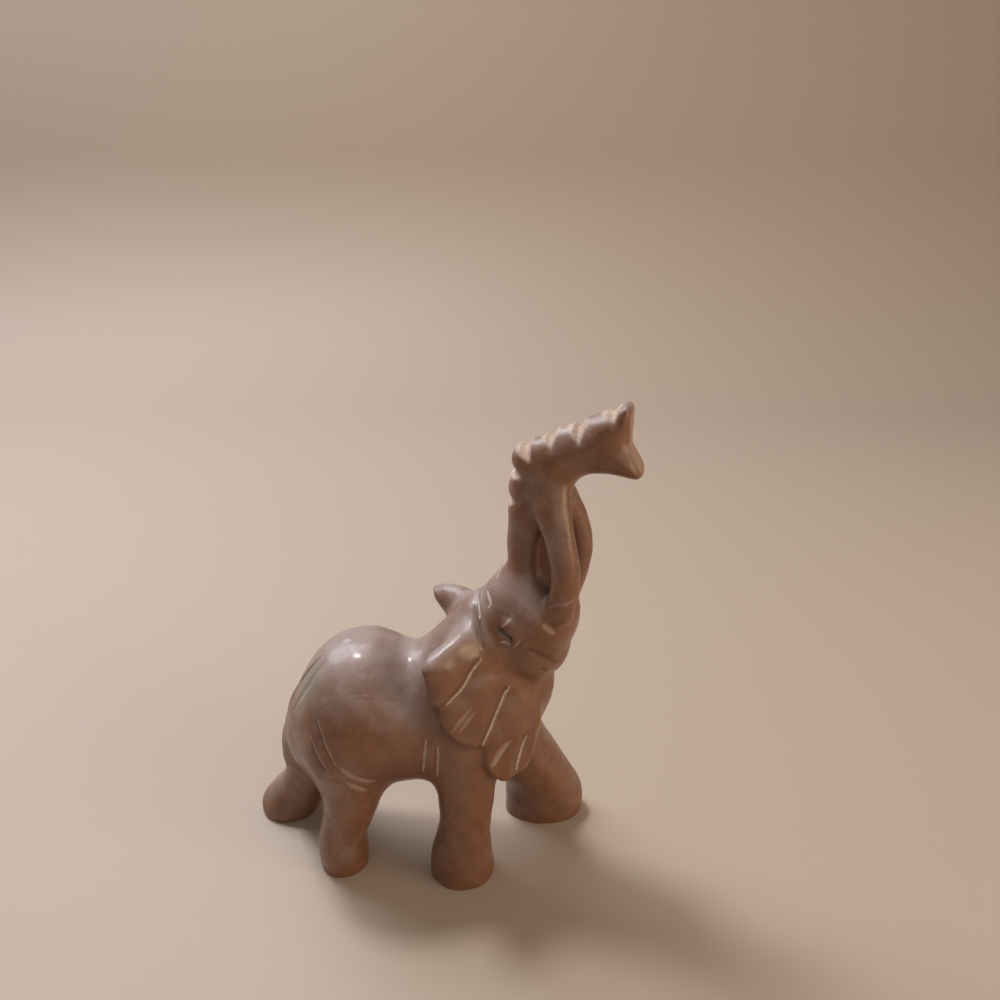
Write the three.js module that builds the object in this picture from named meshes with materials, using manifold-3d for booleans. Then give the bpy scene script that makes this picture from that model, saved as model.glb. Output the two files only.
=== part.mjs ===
// A pocket-sized soapstone elephant, carved from one stone. It walks with its right feet
// close together and its left feet spread, head turned a little to its right, fan ears
// swept back, and trunk raised in an S whose back is notched with a file. Both tusks climb
// from the lips to meet the trunk.
//
// Millimetres. +Z is up, +X is the way the body faces, +Y is the elephant's own left.
//
// The stone has no straight edge but its soles, so it is described as a field: a function
// that gives roughly the distance from any point to the surface, negative inside the stone.
// Eggs, tapering limbs and bent slabs are blended into one field, and the field is then
// covered with a skin of triangles.
import * as THREE from "three";
import { mergeVertices } from "three/addons/utils/BufferGeometryUtils.js";
import Module from "manifold-3d";

// ---------------------------------------------------------------- driving dimensions

// Skin: first laid closely, one point to a cell, then thinned to this many triangles.
const CELL = 0.75;
const TRIANGLES = 10000;

// Blend radii, where one mass runs into the next.
const BLEND_BODY = 4.5;
const BLEND_LIMB = 3.0;
const BLEND_JAW = 2.6;
const BLEND_FACE = 1.6;
const BLEND_TUSK = 1.2;
const BLEND_LIP = 1.0;
const BLEND_EDGE = 0.8;
const BLEND_ROOT = 0.5;

// Body masses: centre, then half lengths along x, y and z, then nose-up pitch in degrees.
const RUMP = { centre: [-7.0, 0, 30.0], half: [10.9, 12.2, 12.6], pitch: -15 };
const HAUNCHES = { centre: [-10.4, 1.6, 22.8], half: [10.3, 8.6, 9.6], pitch: 0 };
const BARREL = { centre: [2.0, 0, 27.5], half: [14.0, 11.0, 10.2], pitch: 0 };
const SHOULDERS = { centre: [11.0, 0, 28.5], half: [8.5, 9.5, 11.5], pitch: 15 };

// Limbs: rows run from the body outwards. Each row is a point the limb passes through
// (x, y, z), then its half thickness fore and aft, then its half thickness across.
const FORE_RIGHT = [
  [10.0, -5.5, 26, 5.2, 5.0],
  [10.1, -6.6, 17, 4.7, 4.6],
  [9.9, -7.2, 10, 4.3, 4.3],
  [9.3, -7.2, 4, 5.2, 4.6],
  [9.3, -7.2, 1, 5.5, 4.7],
];
const HIND_RIGHT = [
  [-8.6, -5.4, 25, 6.9, 6.4],
  [-8.9, -5.6, 17, 5.2, 5.2],
  [-10.1, -5.5, 10.8, 4.2, 4.5],
  [-11.3, -5.3, 6.8, 3.95, 4.3],
  [-11.4, -5.2, 3.8, 4.25, 4.5],
  [-11.4, -5.2, 1, 4.2, 4.2],
];
const FORE_LEFT = [
  [14.5, 5.0, 27, 5.6, 5.0],
  [18.4, 6.5, 18, 5.4, 5.2],
  [22.4, 7.4, 9, 5.9, 5.2],
  [24.0, 7.5, 3.5, 7.1, 5.0],
  [24.0, 7.5, 1, 7.2, 4.7],
];
const HIND_LEFT = [
  [-13.5, 5.5, 24, 7.2, 6.2],
  [-17.3, 6.2, 17, 6.1, 5.2],
  [-18.3, 6.8, 11, 5.2, 4.6],
  [-19.9, 7.2, 7, 4.6, 4.4],
  [-22.8, 7.4, 3.4, 4.6, 4.5],
  [-24.0, 7.4, 1, 5.2, 4.5],
];
const NECK = [
  [6.5, 0, 32.5, 8.3, 8.5],
  [11.0, 0, 38.6, 7.4, 8.0],
  [15.5, 0, 44.5, 6.8, 7.0],
];
const CHEST = [
  [13.5, 0, 24, 6.0, 6.0],
  [17.6, 0, 30, 5.8, 5.4],
  [19.4, 0, 34.5, 5.3, 5.0],
  [19.5, 0, 40, 4.6, 5.0],
];
const TAIL = [
  [-8.5, 0, 41.4, 0.9, 0.9],
  [-12.9, 0.1, 37.4, 1.2, 1.5],
  [-16.4, 0.8, 32.7, 1.1, 1.4],
  [-18.7, 2.0, 28, 1.0, 1.2],
  [-20.1, 3.2, 22, 1.2, 1.2],
  [-20.6, 3.6, 18, 1.6, 1.6],
];

// Head: its masses and limbs are laid out straight ahead, and the whole is then turned
// about an upright line through the nape.
const HEAD_TURN = 17; // degrees, towards the elephant's right
const NAPE_X = 17.0;
const SKULL = { centre: [20.3, 0, 47.8], half: [7.6, 7.3, 8.2], pitch: 0 };
const SNOUT = { centre: [24.6, 0, 48.2], half: [3.7, 6.3, 4.6], pitch: 0 };
const JAW = { centre: [21.2, 0, 41.5], half: [5.6, 5.6, 4.9], pitch: 8 };
const TRUNK = [
  [19.6, 0, 51, 4.2, 5.4],
  [19.9, 0, 56, 2.9, 3.6],
  [20.0, 0, 60.5, 2.95, 3.3],
  [20.8, 0, 65.5, 3.6, 3.4],
  [22.1, 0, 70.7, 4.6, 3.6],
  [25.0, 0, 74.0, 4.0, 3.4],
  [28.2, 0, 75.9, 3.7, 3.2],
  [31.0, 0, 76.8, 3.8, 3.1],
];
const TRUNK_CORNER = { centre: [20.3, 0, 73.6], half: [2.4, 2.6, 2.3] };
const UPPER_LIP = [
  [30.3, 0, 77.1, 3.4, 3.0],
  [32.0, 0, 79.0, 2.6, 3.1],
  [33.2, 0, 80.5, 1.8, 2.8],
  [33.8, 0, 81.9, 0.9, 2.2],
];
const LOWER_LIP = [
  [30.2, 0, 75.6, 3.0, 3.0],
  [32.8, 0, 75.0, 2.6, 3.2],
  [34.9, 0, 73.8, 1.6, 3.0],
  [35.8, 0, 73.1, 0.9, 2.5],
];
const THROAT_WEB = [
  [23.5, 0, 51.5, 3.0, 1.6],
  [23.9, 0, 58, 2.2, 1.3],
  [24.1, 0, 62.5, 2.2, 1.6],
  [23.9, 0, 67, 2.8, 4.2],
];
const TUSK_RIGHT = [
  [23.6, -1.6, 70.6, 2.6, 2.2],
  [24.8, -3.3, 66.8, 2.5, 2.1],
  [26.2, -4.4, 62.5, 2.2, 2.0],
  [27.05, -4.7, 58.5, 2.1, 2.1],
  [27.0, -4.7, 55, 2.15, 2.15],
  [26.4, -4.4, 51.5, 2.2, 2.2],
];
const TUSK_LEFT = [
  [23.4, 1.6, 69.6, 2.6, 2.2],
  [25.0, 3.5, 65.6, 2.4, 2.1],
  [26.6, 4.4, 61.8, 2.1, 2.0],
  [27.1, 4.7, 58.3, 2.1, 2.1],
  [26.8, 4.7, 55, 2.15, 2.15],
  [25.9, 4.4, 51.5, 2.2, 2.2],
];
const EYE = { centre: [18.9, 7.3, 47.6], half: [1.4, 0.9, 1.0], pitch: 0 };

// Notches filed across the back of the trunk. Each row is a point on the ridge (x, z) and
// the way the ridge climbs there, in degrees.
const NOTCHES = [
  [17.1, 67.2, 90],
  [17.6, 71.7, 80],
  [19.5, 76.0, 35],
  [23.2, 77.8, 20],
  [27.2, 79.4, 16],
  [31.7, 81.9, 26],
];
const NOTCH_DEPTH = 1.0;
const NOTCH_HALF_WIDTH = 0.75;
const NOTCH_REACH = 2.8; // how far down the sides the file went

// Ears: a bent slab on each side. At each height it runs from a root line by the throat
// to an outer line behind; the outline is drawn in x and z.
const EAR_HEIGHTS = [18, 30, 40, 50];
const EAR_ROOT_X = [21.5, 22.0, 18.5, 13.0];
const EAR_ROOT_Y = [5.4, 5.6, 4.5, 1.7];
const EAR_OUTER_X = [12.0, 8.0, 5.0, 4.5];
const EAR_OUTER_Y = [11.2, 11.8, 11.8, 11.0];
const EAR_BOW = 0.6; // how far the slab bellies out between the two lines
const EAR_OUTWARD = 1.0; // how far the face stands outside the line from root to edge
const EAR_INWARD = [5.0, 5.0, 4.5, 1.6]; // and how far the slab goes in from that line
const EAR_EDGE_ROUND = [0.8, 1.0, 2.4, 1.3]; // by height: soft above, crisp below
const EAR_RIGHT = [
  [5.2, 45.2],
  [4.8, 41.7],
  [5.4, 37.6],
  [8.6, 31.6],
  [12.8, 28.4],
  [13.9, 24.4],
  [17.0, 21.0],
  [20.3, 22.2],
  [22.2, 28.5],
  [22.0, 36.0],
  [19.0, 43.0],
  [12.5, 47.6],
];
const EAR_LEFT = [
  [4.3, 45.6],
  [7.0, 40.8],
  [7.6, 36.0],
  ...EAR_RIGHT.slice(3),
];
const EAR_FOLDS = [
  [[5.6, 36.2], [9.8, 38.6], [13.0, 42.0]],
  [[12.4, 27.8], [15.0, 31.9], [17.3, 36.1]],
  [[18.0, 20.8], [19.4, 24.4], [20.3, 27.6]],
];
const FOLD_DEPTH = 0.4;
const FOLD_HALF_WIDTH = 1.2;
const COLLAR_RIGHT = [
  [13.0, -3.0, 44.0, 4.0, 4.0],
  [9.5, -6.5, 43.2, 3.2, 3.2],
  [7.0, -9.0, 43.0, 2.2, 2.4],
  [5.6, -10.6, 43.6, 1.2, 1.4],
];
const COLLAR_LEFT = [
  [13.0, 3.0, 44.6, 3.8, 3.8],
  [9.5, 6.5, 44.4, 2.4, 2.4],
  [7.4, 8.6, 44.4, 1.5, 1.5],
  [5.8, 10.2, 44.6, 0.9, 0.9],
];

const STONE = { color: 0x86604b, roughness: 0.42, metalness: 0 };

// ------------------------------------------------------------------- shapes as fields

const FAR = 6; // beyond this, a rough distance will do: nothing blends from so far away
const LIMB_PIECES = 4; // straight pieces to each row of a limb
const OUTLINE_PIECES = 3; // and to each point of an ear's outline

const clamp = (value, low, high) => Math.min(high, Math.max(low, value));

/** Catmull-Rom point on rows of numbers at position t, counted in rows. */
function along(rows, t, closed = false) {
  const last = rows.length - 1;
  const start = closed ? Math.floor(t) : Math.min(Math.floor(t), last - 1);
  const f = t - start;
  const row = (i) => {
    if (closed) return rows[(i + rows.length) % rows.length];
    if (i < 0) return rows[0].map((v, c) => 2 * v - rows[1][c]);
    if (i > last) return rows[last].map((v, c) => 2 * v - rows[last - 1][c]);
    return rows[i];
  };
  const [a, b, c, d] = [row(start - 1), row(start), row(start + 1), row(start + 2)];
  return b.map((_, k) => {
    const slope = c[k] - a[k];
    const bend = 2 * a[k] - 5 * b[k] + 4 * c[k] - d[k];
    const twist = 3 * b[k] - a[k] - 3 * c[k] + d[k];
    return 0.5 * (2 * b[k] + slope * f + bend * f * f + twist * f * f * f);
  });
}

/** The smooth curve through rows, as straight pieces. */
function curve(rows, piecesPerRow, closed = false) {
  const spans = closed ? rows.length : rows.length - 1;
  const count = spans * piecesPerRow + (closed ? 0 : 1);
  return Array.from({ length: count }, (_, i) => along(rows, i / piecesPerRow, closed));
}

/** Egg-shaped mass, tipped nose up by its pitch. */
function egg({ centre, half, pitch = 0 }) {
  const tip = THREE.MathUtils.degToRad(pitch);
  const [cos, sin] = [Math.cos(tip), Math.sin(tip)];
  return (x, y, z) => {
    const dx = x - centre[0];
    const dz = z - centre[2];
    const u = (dx * cos + dz * sin) / half[0];
    const v = (y - centre[1]) / half[1];
    const w = (dz * cos - dx * sin) / half[2];
    const reach = Math.hypot(u, v, w);
    const slope = Math.hypot(u / half[0], v / half[1], w / half[2]);
    return (reach * (reach - 1)) / Math.max(slope, 1e-9);
  };
}

/** Limb that follows rows of x, y, z, half thickness and half thickness across. */
function limb(rows) {
  const line = curve(rows, LIMB_PIECES);
  const pieces = line.slice(1).map((b, i) => {
    const a = line[i];
    const e = [b[0] - a[0], b[1] - a[1], b[2] - a[2]];
    const length2 = e[0] ** 2 + e[1] ** 2 + e[2] ** 2;
    return { a, e, length2, swell: b[3] - a[3], spread: b[4] - a[4] };
  });
  const reach = new THREE.Sphere().setFromPoints(line.map((p) => new THREE.Vector3(...p)));
  reach.radius += Math.max(...rows.map((row) => Math.max(row[3], row[4])));
  return (x, y, z) => {
    const { center, radius: bound } = reach;
    const outside = Math.hypot(x - center.x, y - center.y, z - center.z) - bound;
    if (outside > FAR) return outside;
    let nearest = Infinity;
    for (const { a, e, length2, swell, spread } of pieces) {
      const px = x - a[0];
      const py = y - a[1];
      const pz = z - a[2];
      const t = clamp((px * e[0] + py * e[1] + pz * e[2]) / length2, 0, 1);
      const radius = a[3] + t * swell;
      const across = a[4] + t * spread;
      const side = ((py - t * e[1]) * radius) / across;
      const gap = Math.hypot(px - t * e[0], side, pz - t * e[2]) - radius;
      nearest = Math.min(nearest, gap * Math.min(1, across / radius));
    }
    return nearest;
  };
}

/** Smooth union: two surfaces meet in a fillet of about the given radius. */
function blend(a, b, radius) {
  const h = clamp(0.5 + (0.5 * (b - a)) / radius, 0, 1);
  return b * (1 - h) + a * h - radius * h * (1 - h);
}

/** Smooth cut: what b holds is taken out of a. */
const carve = (a, b, radius) => -blend(-a, b, radius);

/** Distance from a point to an open line of points, in the plane. */
function toLine(line, x, y) {
  let nearest = Infinity;
  for (let i = 1; i < line.length; i++) {
    const [a, b] = [line[i - 1], line[i]];
    const [ex, ey] = [b[0] - a[0], b[1] - a[1]];
    const t = clamp(((x - a[0]) * ex + (y - a[1]) * ey) / (ex * ex + ey * ey), 0, 1);
    nearest = Math.min(nearest, Math.hypot(x - a[0] - t * ex, y - a[1] - t * ey));
  }
  return nearest;
}

/** Distance from a point to a closed outline in the plane, negative inside it. */
function toOutline(outline, x, y) {
  let inside = false;
  outline.forEach((a, i) => {
    const b = outline[(i + 1) % outline.length];
    const crosses = a[1] <= y !== b[1] <= y;
    if (crosses && x < a[0] + ((y - a[1]) * (b[0] - a[0])) / (b[1] - a[1])) inside = !inside;
  });
  const distance = toLine([...outline, outline[0]], x, y);
  return inside ? -distance : distance;
}

/** Value between listed stops, at a position between their heights. */
function between(heights, stops, z) {
  let i = 1;
  while (i < heights.length - 1 && z > heights[i]) i++;
  const t = clamp((z - heights[i - 1]) / (heights[i] - heights[i - 1]), 0, 1);
  return stops[i - 1] + t * (stops[i] - stops[i - 1]);
}

/** Bent ear slab with an outline in x and z; side is -1 for the right ear, 1 for the left. */
function ear(points, side) {
  const outline = curve(points, OUTLINE_PIECES, true);
  const box = new THREE.Box2().setFromPoints(outline.map((p) => new THREE.Vector2(...p)));
  return (x, y, z) => {
    const outside = box.distanceToPoint(new THREE.Vector2(x, z));
    if (outside > FAR || y * side < -FAR) return Math.max(outside, -y * side);
    const rootX = between(EAR_HEIGHTS, EAR_ROOT_X, z);
    const rootY = between(EAR_HEIGHTS, EAR_ROOT_Y, z);
    let ux = between(EAR_HEIGHTS, EAR_OUTER_X, z) - rootX;
    let uy = between(EAR_HEIGHTS, EAR_OUTER_Y, z) - rootY;
    const length = Math.hypot(ux, uy);
    ux /= length;
    uy /= length;
    const wx = x - rootX;
    const wy = y * side - rootY;
    const t = clamp((wx * ux + wy * uy) / length, 0, 1);
    const outward = wx * uy - wy * ux - 4 * EAR_BOW * t * (1 - t);
    const inward = between(EAR_HEIGHTS, EAR_INWARD, z);
    const off = Math.abs(outward - (EAR_OUTWARD - inward) / 2);
    let fold = 0;
    for (const line of EAR_FOLDS) {
      fold = Math.max(fold, Math.exp(-((toLine(line, x, z) / FOLD_HALF_WIDTH) ** 2)));
    }
    const rounding = between(EAR_HEIGHTS, EAR_EDGE_ROUND, z);
    const rim = 0.9 * toOutline(outline, x, z) + FOLD_DEPTH * fold + rounding;
    const face = off - (EAR_OUTWARD + inward) / 2 + FOLD_DEPTH * fold + rounding;
    const corner = Math.hypot(Math.max(rim, 0), Math.max(face, 0));
    return Math.min(Math.max(rim, face), 0) + corner - rounding;
  };
}

/** How deep the filed notches cut at a point of the trunk, given by its x and z. */
function notchDepth(x, z) {
  let depth = 0;
  for (const [ridgeX, ridgeZ, climb] of NOTCHES) {
    const angle = THREE.MathUtils.degToRad(climb);
    const [cos, sin] = [Math.cos(angle), Math.sin(angle)];
    const step = (x - ridgeX) * cos + (z - ridgeZ) * sin;
    const out = (z - ridgeZ) * cos - (x - ridgeX) * sin;
    const vee = clamp(1 - Math.abs(step) / NOTCH_HALF_WIDTH, 0, 1);
    depth = Math.max(depth, vee * clamp(1 + out / NOTCH_REACH, 0, 1));
  }
  return NOTCH_DEPTH * depth;
}

// --------------------------------------------------------------------- the whole stone

const body = [HAUNCHES, BARREL, SHOULDERS].map(egg);
const rump = egg(RUMP);
const legs = [FORE_RIGHT, HIND_RIGHT, FORE_LEFT, HIND_LEFT].map(limb);
const neck = limb(NECK);
const chest = limb(CHEST);
const tail = limb(TAIL);
const collar = [COLLAR_RIGHT, COLLAR_LEFT].map(limb);
const ears = [ear(EAR_RIGHT, -1), ear(EAR_LEFT, 1)];
const skull = egg(SKULL);
const snout = egg(SNOUT);
const jaw = egg(JAW);
const eye = egg(EYE);
const trunk = limb(TRUNK);
const trunkCorner = egg(TRUNK_CORNER);
const lips = [UPPER_LIP, LOWER_LIP].map(limb);
const web = limb(THROAT_WEB);
const tusks = [TUSK_RIGHT, TUSK_LEFT].map(limb);

const turn = THREE.MathUtils.degToRad(HEAD_TURN);
const TURN_COS = Math.cos(turn);
const TURN_SIN = Math.sin(turn);

/** The head, trunk and tusks, before they are turned. */
function headField(x, y, z) {
  let skin = blend(skull(x, y, z), snout(x, y, z), BLEND_FACE);
  skin = blend(skin, jaw(x, y, z), BLEND_JAW);
  skin = carve(skin, eye(x, Math.abs(y), z), BLEND_ROOT);
  const mouth = blend(lips[0](x, y, z), lips[1](x, y, z), BLEND_LIP);
  let raised = blend(trunk(x, y, z), trunkCorner(x, y, z), BLEND_FACE);
  raised = blend(raised, mouth, BLEND_LIP) + notchDepth(x, z);
  raised = blend(raised, web(x, y, z), BLEND_LIP);
  skin = blend(skin, raised, BLEND_FACE);
  const tusk = Math.min(tusks[0](x, y, z), tusks[1](x, y, z));
  return blend(skin, tusk, BLEND_TUSK);
}

/** The whole elephant; its feet run on below the ground, to be cut flat. */
function elephant(x, y, z) {
  let skin = rump(x, y, z);
  for (const mass of body) skin = blend(skin, mass(x, y, z), BLEND_BODY);
  const [first, ...others] = legs.map((leg) => leg(x, y, z));
  const stance = others.reduce((joined, leg) => blend(joined, leg, BLEND_LIMB), first);
  skin = blend(skin, stance, BLEND_LIMB);
  skin = blend(skin, neck(x, y, z), BLEND_LIMB);
  skin = blend(skin, chest(x, y, z), BLEND_LIMB);
  skin = blend(skin, tail(x, y, z), BLEND_ROOT);
  for (const side of collar) skin = blend(skin, side(x, y, z), BLEND_FACE);
  const dx = x - NAPE_X;
  const headX = NAPE_X + TURN_COS * dx - TURN_SIN * y;
  const headY = TURN_SIN * dx + TURN_COS * y;
  skin = blend(skin, headField(headX, headY, z), BLEND_LIP);
  for (const side of ears) skin = blend(skin, side(x, y, z), BLEND_EDGE);
  return skin;
}

// ----------------------------------------------------------------------------- skinning

/** Moves a point onto the surface along the slope of the field. */
function settle(field, p, furthest) {
  const step = 0.05;
  const rounds = 4;
  const flattest = 0.1; // least slope squared, so that no step runs away
  let [x, y, z] = p;
  for (let round = 0; round < rounds; round++) {
    const gx = (field(x + step, y, z) - field(x - step, y, z)) / (2 * step);
    const gy = (field(x, y + step, z) - field(x, y - step, z)) / (2 * step);
    const gz = (field(x, y, z + step) - field(x, y, z - step)) / (2 * step);
    const slope2 = Math.max(gx * gx + gy * gy + gz * gz, flattest);
    const move = clamp(field(x, y, z) / slope2, -furthest, furthest);
    x -= move * gx;
    y -= move * gy;
    z -= move * gz;
  }
  return [x, y, z];
}

const STEPS = [[1, 0, 0], [0, 1, 0], [0, 0, 1]];
const SETTLE_REACH = 0.4; // of a cell: how far each step may move a point of the skin

/**
 * Where a grid square has stone at two opposite corners only, the skin would pinch to a
 * line: the sample nearest the surface is moved just across it.
 */
function unpinch(value, at, [nx, ny, nz]) {
  const justAcross = 1e-3;
  for (let k = 0; k < nz - 1; k++)
    for (let j = 0; j < ny - 1; j++)
      for (let i = 0; i < nx - 1; i++)
        for (const axis of [0, 1, 2]) {
          const u = STEPS[(axis + 1) % 3];
          const v = STEPS[(axis + 2) % 3];
          const square = [[0, 0], [1, 0], [1, 1], [0, 1]].map(([a, b]) =>
            at(i + a * u[0] + b * v[0], j + a * u[1] + b * v[1], k + a * u[2] + b * v[2]),
          );
          const [p, q, r, s] = square.map((n) => value[n] < 0);
          if (p !== r || q !== s || p === q) continue;
          square.sort((m, n) => Math.abs(value[m]) - Math.abs(value[n]));
          value[square[0]] = value[square[0]] < 0 ? justAcross : -justAcross;
        }
}

/** Covers the field with triangles: one point in each cell the surface passes through. */
function skinField(field, low, high) {
  const size = low.map((v, c) => Math.ceil((high[c] - v) / CELL) + 1);
  const [nx, ny, nz] = size;
  const spot = (i, j, k) => [low[0] + i * CELL, low[1] + j * CELL, low[2] + k * CELL];
  const at = (i, j, k) => (k * ny + j) * nx + i;
  const value = new Float64Array(nx * ny * nz);
  for (let k = 0; k < nz; k++)
    for (let j = 0; j < ny; j++)
      for (let i = 0; i < nx; i++) value[at(i, j, k)] = field(...spot(i, j, k));
  unpinch(value, at, size);
  const points = [];
  const cellPoint = new Map();
  const pointOf = (i, j, k) => {
    const key = at(i, j, k);
    if (cellPoint.has(key)) return cellPoint.get(key);
    const sum = new THREE.Vector3();
    let crossings = 0;
    for (let corner = 0; corner < 8; corner++) {
      const a = [i + (corner & 1), j + ((corner >> 1) & 1), k + ((corner >> 2) & 1)];
      for (const [axis, step] of STEPS.entries()) {
        if (a[axis] !== [i, j, k][axis]) continue;
        const b = a.map((v, c) => v + step[c]);
        const va = value[at(...a)];
        const vb = value[at(...b)];
        if (va < 0 === vb < 0) continue;
        const from = new THREE.Vector3(...spot(...a));
        const to = new THREE.Vector3(...spot(...b));
        sum.add(from.lerp(to, va / (va - vb)));
        crossings++;
      }
    }
    const start = sum.divideScalar(crossings).toArray();
    points.push(settle(field, start, SETTLE_REACH * CELL));
    cellPoint.set(key, points.length - 1);
    return points.length - 1;
  };
  const faces = [];
  for (let k = 1; k < nz - 1; k++)
    for (let j = 1; j < ny - 1; j++)
      for (let i = 1; i < nx - 1; i++)
        for (const [axis, step] of STEPS.entries()) {
          const here = value[at(i, j, k)] < 0;
          const next = value[at(i + step[0], j + step[1], k + step[2])] < 0;
          if (here === next) continue;
          const u = STEPS[(axis + 1) % 3];
          const v = STEPS[(axis + 2) % 3];
          const cell = (a, b) =>
            pointOf(i - a * u[0] - b * v[0], j - a * u[1] - b * v[1], k - a * u[2] - b * v[2]);
          const quad = [cell(1, 1), cell(0, 1), cell(0, 0), cell(1, 0)];
          if (!here) quad.reverse();
          faces.push(...splitQuad(points, quad));
        }
  return { points, faces };
}

/** Two triangles of a quad, cut along its shorter diagonal. */
function splitQuad(points, [a, b, c, d]) {
  const span = (p, q) => Math.hypot(...points[p].map((v, k) => v - points[q][k]));
  return span(a, c) < span(b, d) ? [[a, b, c], [a, c, d]] : [[a, b, d], [b, c, d]];
}

/** Sum of squared distances to planes, as the matrix and vector that give it. */
class Planes {
  constructor() {
    this.square = new Float64Array(6);
    this.linear = new Float64Array(3);
    this.rest = 0;
  }
  addPlane(n, offset, weight) {
    const [x, y, z] = n;
    const products = [x * x, y * y, z * z, x * y, x * z, y * z];
    for (const [i, v] of products.entries()) this.square[i] += weight * v;
    for (const [i, v] of n.entries()) this.linear[i] += weight * offset * v;
    this.rest += weight * offset * offset;
  }
  addAll(other) {
    for (const [i, v] of other.square.entries()) this.square[i] += v;
    for (const [i, v] of other.linear.entries()) this.linear[i] += v;
    this.rest += other.rest;
    return this;
  }
  at([x, y, z]) {
    const [xx, yy, zz, xy, xz, yz] = this.square;
    const straight = this.linear[0] * x + this.linear[1] * y + this.linear[2] * z;
    const crossed = xy * x * y + xz * x * z + yz * y * z;
    return xx * x * x + yy * y * y + zz * z * z + 2 * crossed + 2 * straight + this.rest;
  }
  /** The point nearest all the planes, held near a start where they leave it free. */
  nearest(start, hold) {
    const [xx, yy, zz, xy, xz, yz] = this.square;
    const matrix = new THREE.Matrix3();
    matrix.set(xx + hold, xy, xz, xy, yy + hold, yz, xz, yz, zz + hold);
    const pull = start.map((v, i) => hold * v - this.linear[i]);
    return new THREE.Vector3(...pull).applyMatrix3(matrix.invert()).toArray();
  }
}

/**
 * Thins a closed skin to a number of triangles. Each round lists every edge by how little
 * the surface would move if it were closed up to one point, and closes the cheapest ones.
 */
function thin(points, faces, target) {
  const hold = 1e-3; // keeps a point near the middle of its edge where the skin is flat
  const farCost = 1e-4; // and makes moving it far along the skin cost a little
  const share = 3; // one edge in so many is closed in a round
  const sharpestTurn = 0.3; // cosine: a face may not turn further than this
  const minus = (p, q) => [p[0] - q[0], p[1] - q[1], p[2] - q[2]];
  const cross = (p, q) => [
    p[1] * q[2] - p[2] * q[1],
    p[2] * q[0] - p[0] * q[2],
    p[0] * q[1] - p[1] * q[0],
  ];
  const dot = (p, q) => p[0] * q[0] + p[1] * q[1] + p[2] * q[2];
  const facing = (a, b, c) => cross(minus(b, a), minus(c, a));
  let left = faces;
  while (left.length > target) {
    const around = points.map(() => []);
    const planes = points.map(() => new Planes());
    for (const face of left) {
      const [a, b, c] = face.map((v) => points[v]);
      const normal = facing(a, b, c);
      const area2 = Math.hypot(...normal) + 1e-12;
      const unit = normal.map((v) => v / area2);
      for (const v of face) {
        around[v].push(face);
        planes[v].addPlane(unit, -dot(unit, a), area2);
      }
    }
    const edges = [];
    for (const face of left)
      for (const [n, a] of face.entries()) {
        const b = face[(n + 1) % 3];
        if (a > b) continue;
        const both = new Planes().addAll(planes[a]).addAll(planes[b]);
        const middle = points[a].map((v, i) => (v + points[b][i]) / 2);
        const place = both.nearest(middle, hold);
        const moved = minus(place, middle);
        edges.push({ a, b, place, cost: both.at(place) + farCost * dot(moved, moved) });
      }
    edges.sort((p, q) => p.cost - q.cost);
    const settled = new Set();
    const gone = new Set();
    for (const { a, b, place } of edges.slice(0, edges.length / share)) {
      if (left.length - gone.size <= target) break;
      if (settled.has(a) || settled.has(b)) continue;
      const nextTo = (v) => new Set(around[v].flat());
      const beside = [...nextTo(a)].filter((v) => nextTo(b).has(v));
      if (beside.length !== 4) continue; // the two ends and one corner each side
      const touched = [...around[a], ...around[b]];
      const kept = touched.filter((face) => !(face.includes(a) && face.includes(b)));
      const folds = kept.some((face) => {
        const was = facing(...face.map((v) => points[v]));
        const now = facing(...face.map((v) => (v === a || v === b ? place : points[v])));
        return dot(was, now) < sharpestTurn * Math.hypot(...was) * Math.hypot(...now);
      });
      if (folds) continue;
      points[a] = place;
      for (const v of [...nextTo(a), ...nextTo(b)]) settled.add(v);
      for (const face of around[b]) {
        if (face.includes(a)) gone.add(face);
        else face[face.indexOf(b)] = a;
      }
    }
    if (!gone.size) break;
    left = left.filter((face) => !gone.has(face));
  }
  return left;
}

// ------------------------------------------------------------------------ one solid body

const wasm = await Module();
wasm.setup();

/** A closed triangle mesh as a solid that can be cut. */
function solid(positions, indices) {
  return new wasm.Manifold(
    new wasm.Mesh({
      numProp: 3,
      vertProperties: new Float32Array(positions),
      triVerts: new Uint32Array(indices),
    }),
  );
}

const SPACE_LOW = [-33, -16, -9]; // the space that holds the stone and the legs' run below
const SPACE_HIGH = [40, 16, 85];
const GROUND = [120, 80, 12]; // block that cuts the soles flat, its top face at z = 0
const { points, faces } = skinField(elephant, SPACE_LOW, SPACE_HIGH);
const skin = thin(points, faces, TRIANGLES);
const block = new THREE.BoxGeometry(...GROUND).translate(0, 0, -GROUND[2] / 2);
block.deleteAttribute("normal");
block.deleteAttribute("uv");
const ground = mergeVertices(block);
const stone = solid(points.flat(), skin.flat()).subtract(
  solid(ground.attributes.position.array, ground.index.array),
);

const cut = stone.getMesh();
const geometry = new THREE.BufferGeometry();
geometry.setAttribute("position", new THREE.BufferAttribute(cut.vertProperties, 3));
geometry.setIndex(new THREE.BufferAttribute(cut.triVerts, 1));
geometry.computeBoundingBox();
const box = geometry.boundingBox;
geometry.translate(-(box.min.x + box.max.x) / 2, -(box.min.y + box.max.y) / 2, -box.min.z);
geometry.computeVertexNormals();

const elephantMesh = new THREE.Mesh(geometry, new THREE.MeshStandardMaterial(STONE));
elephantMesh.name = "elephant";

const group = new THREE.Group();
group.name = "soapstone_elephant";
group.add(elephantMesh);
export default group;
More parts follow.
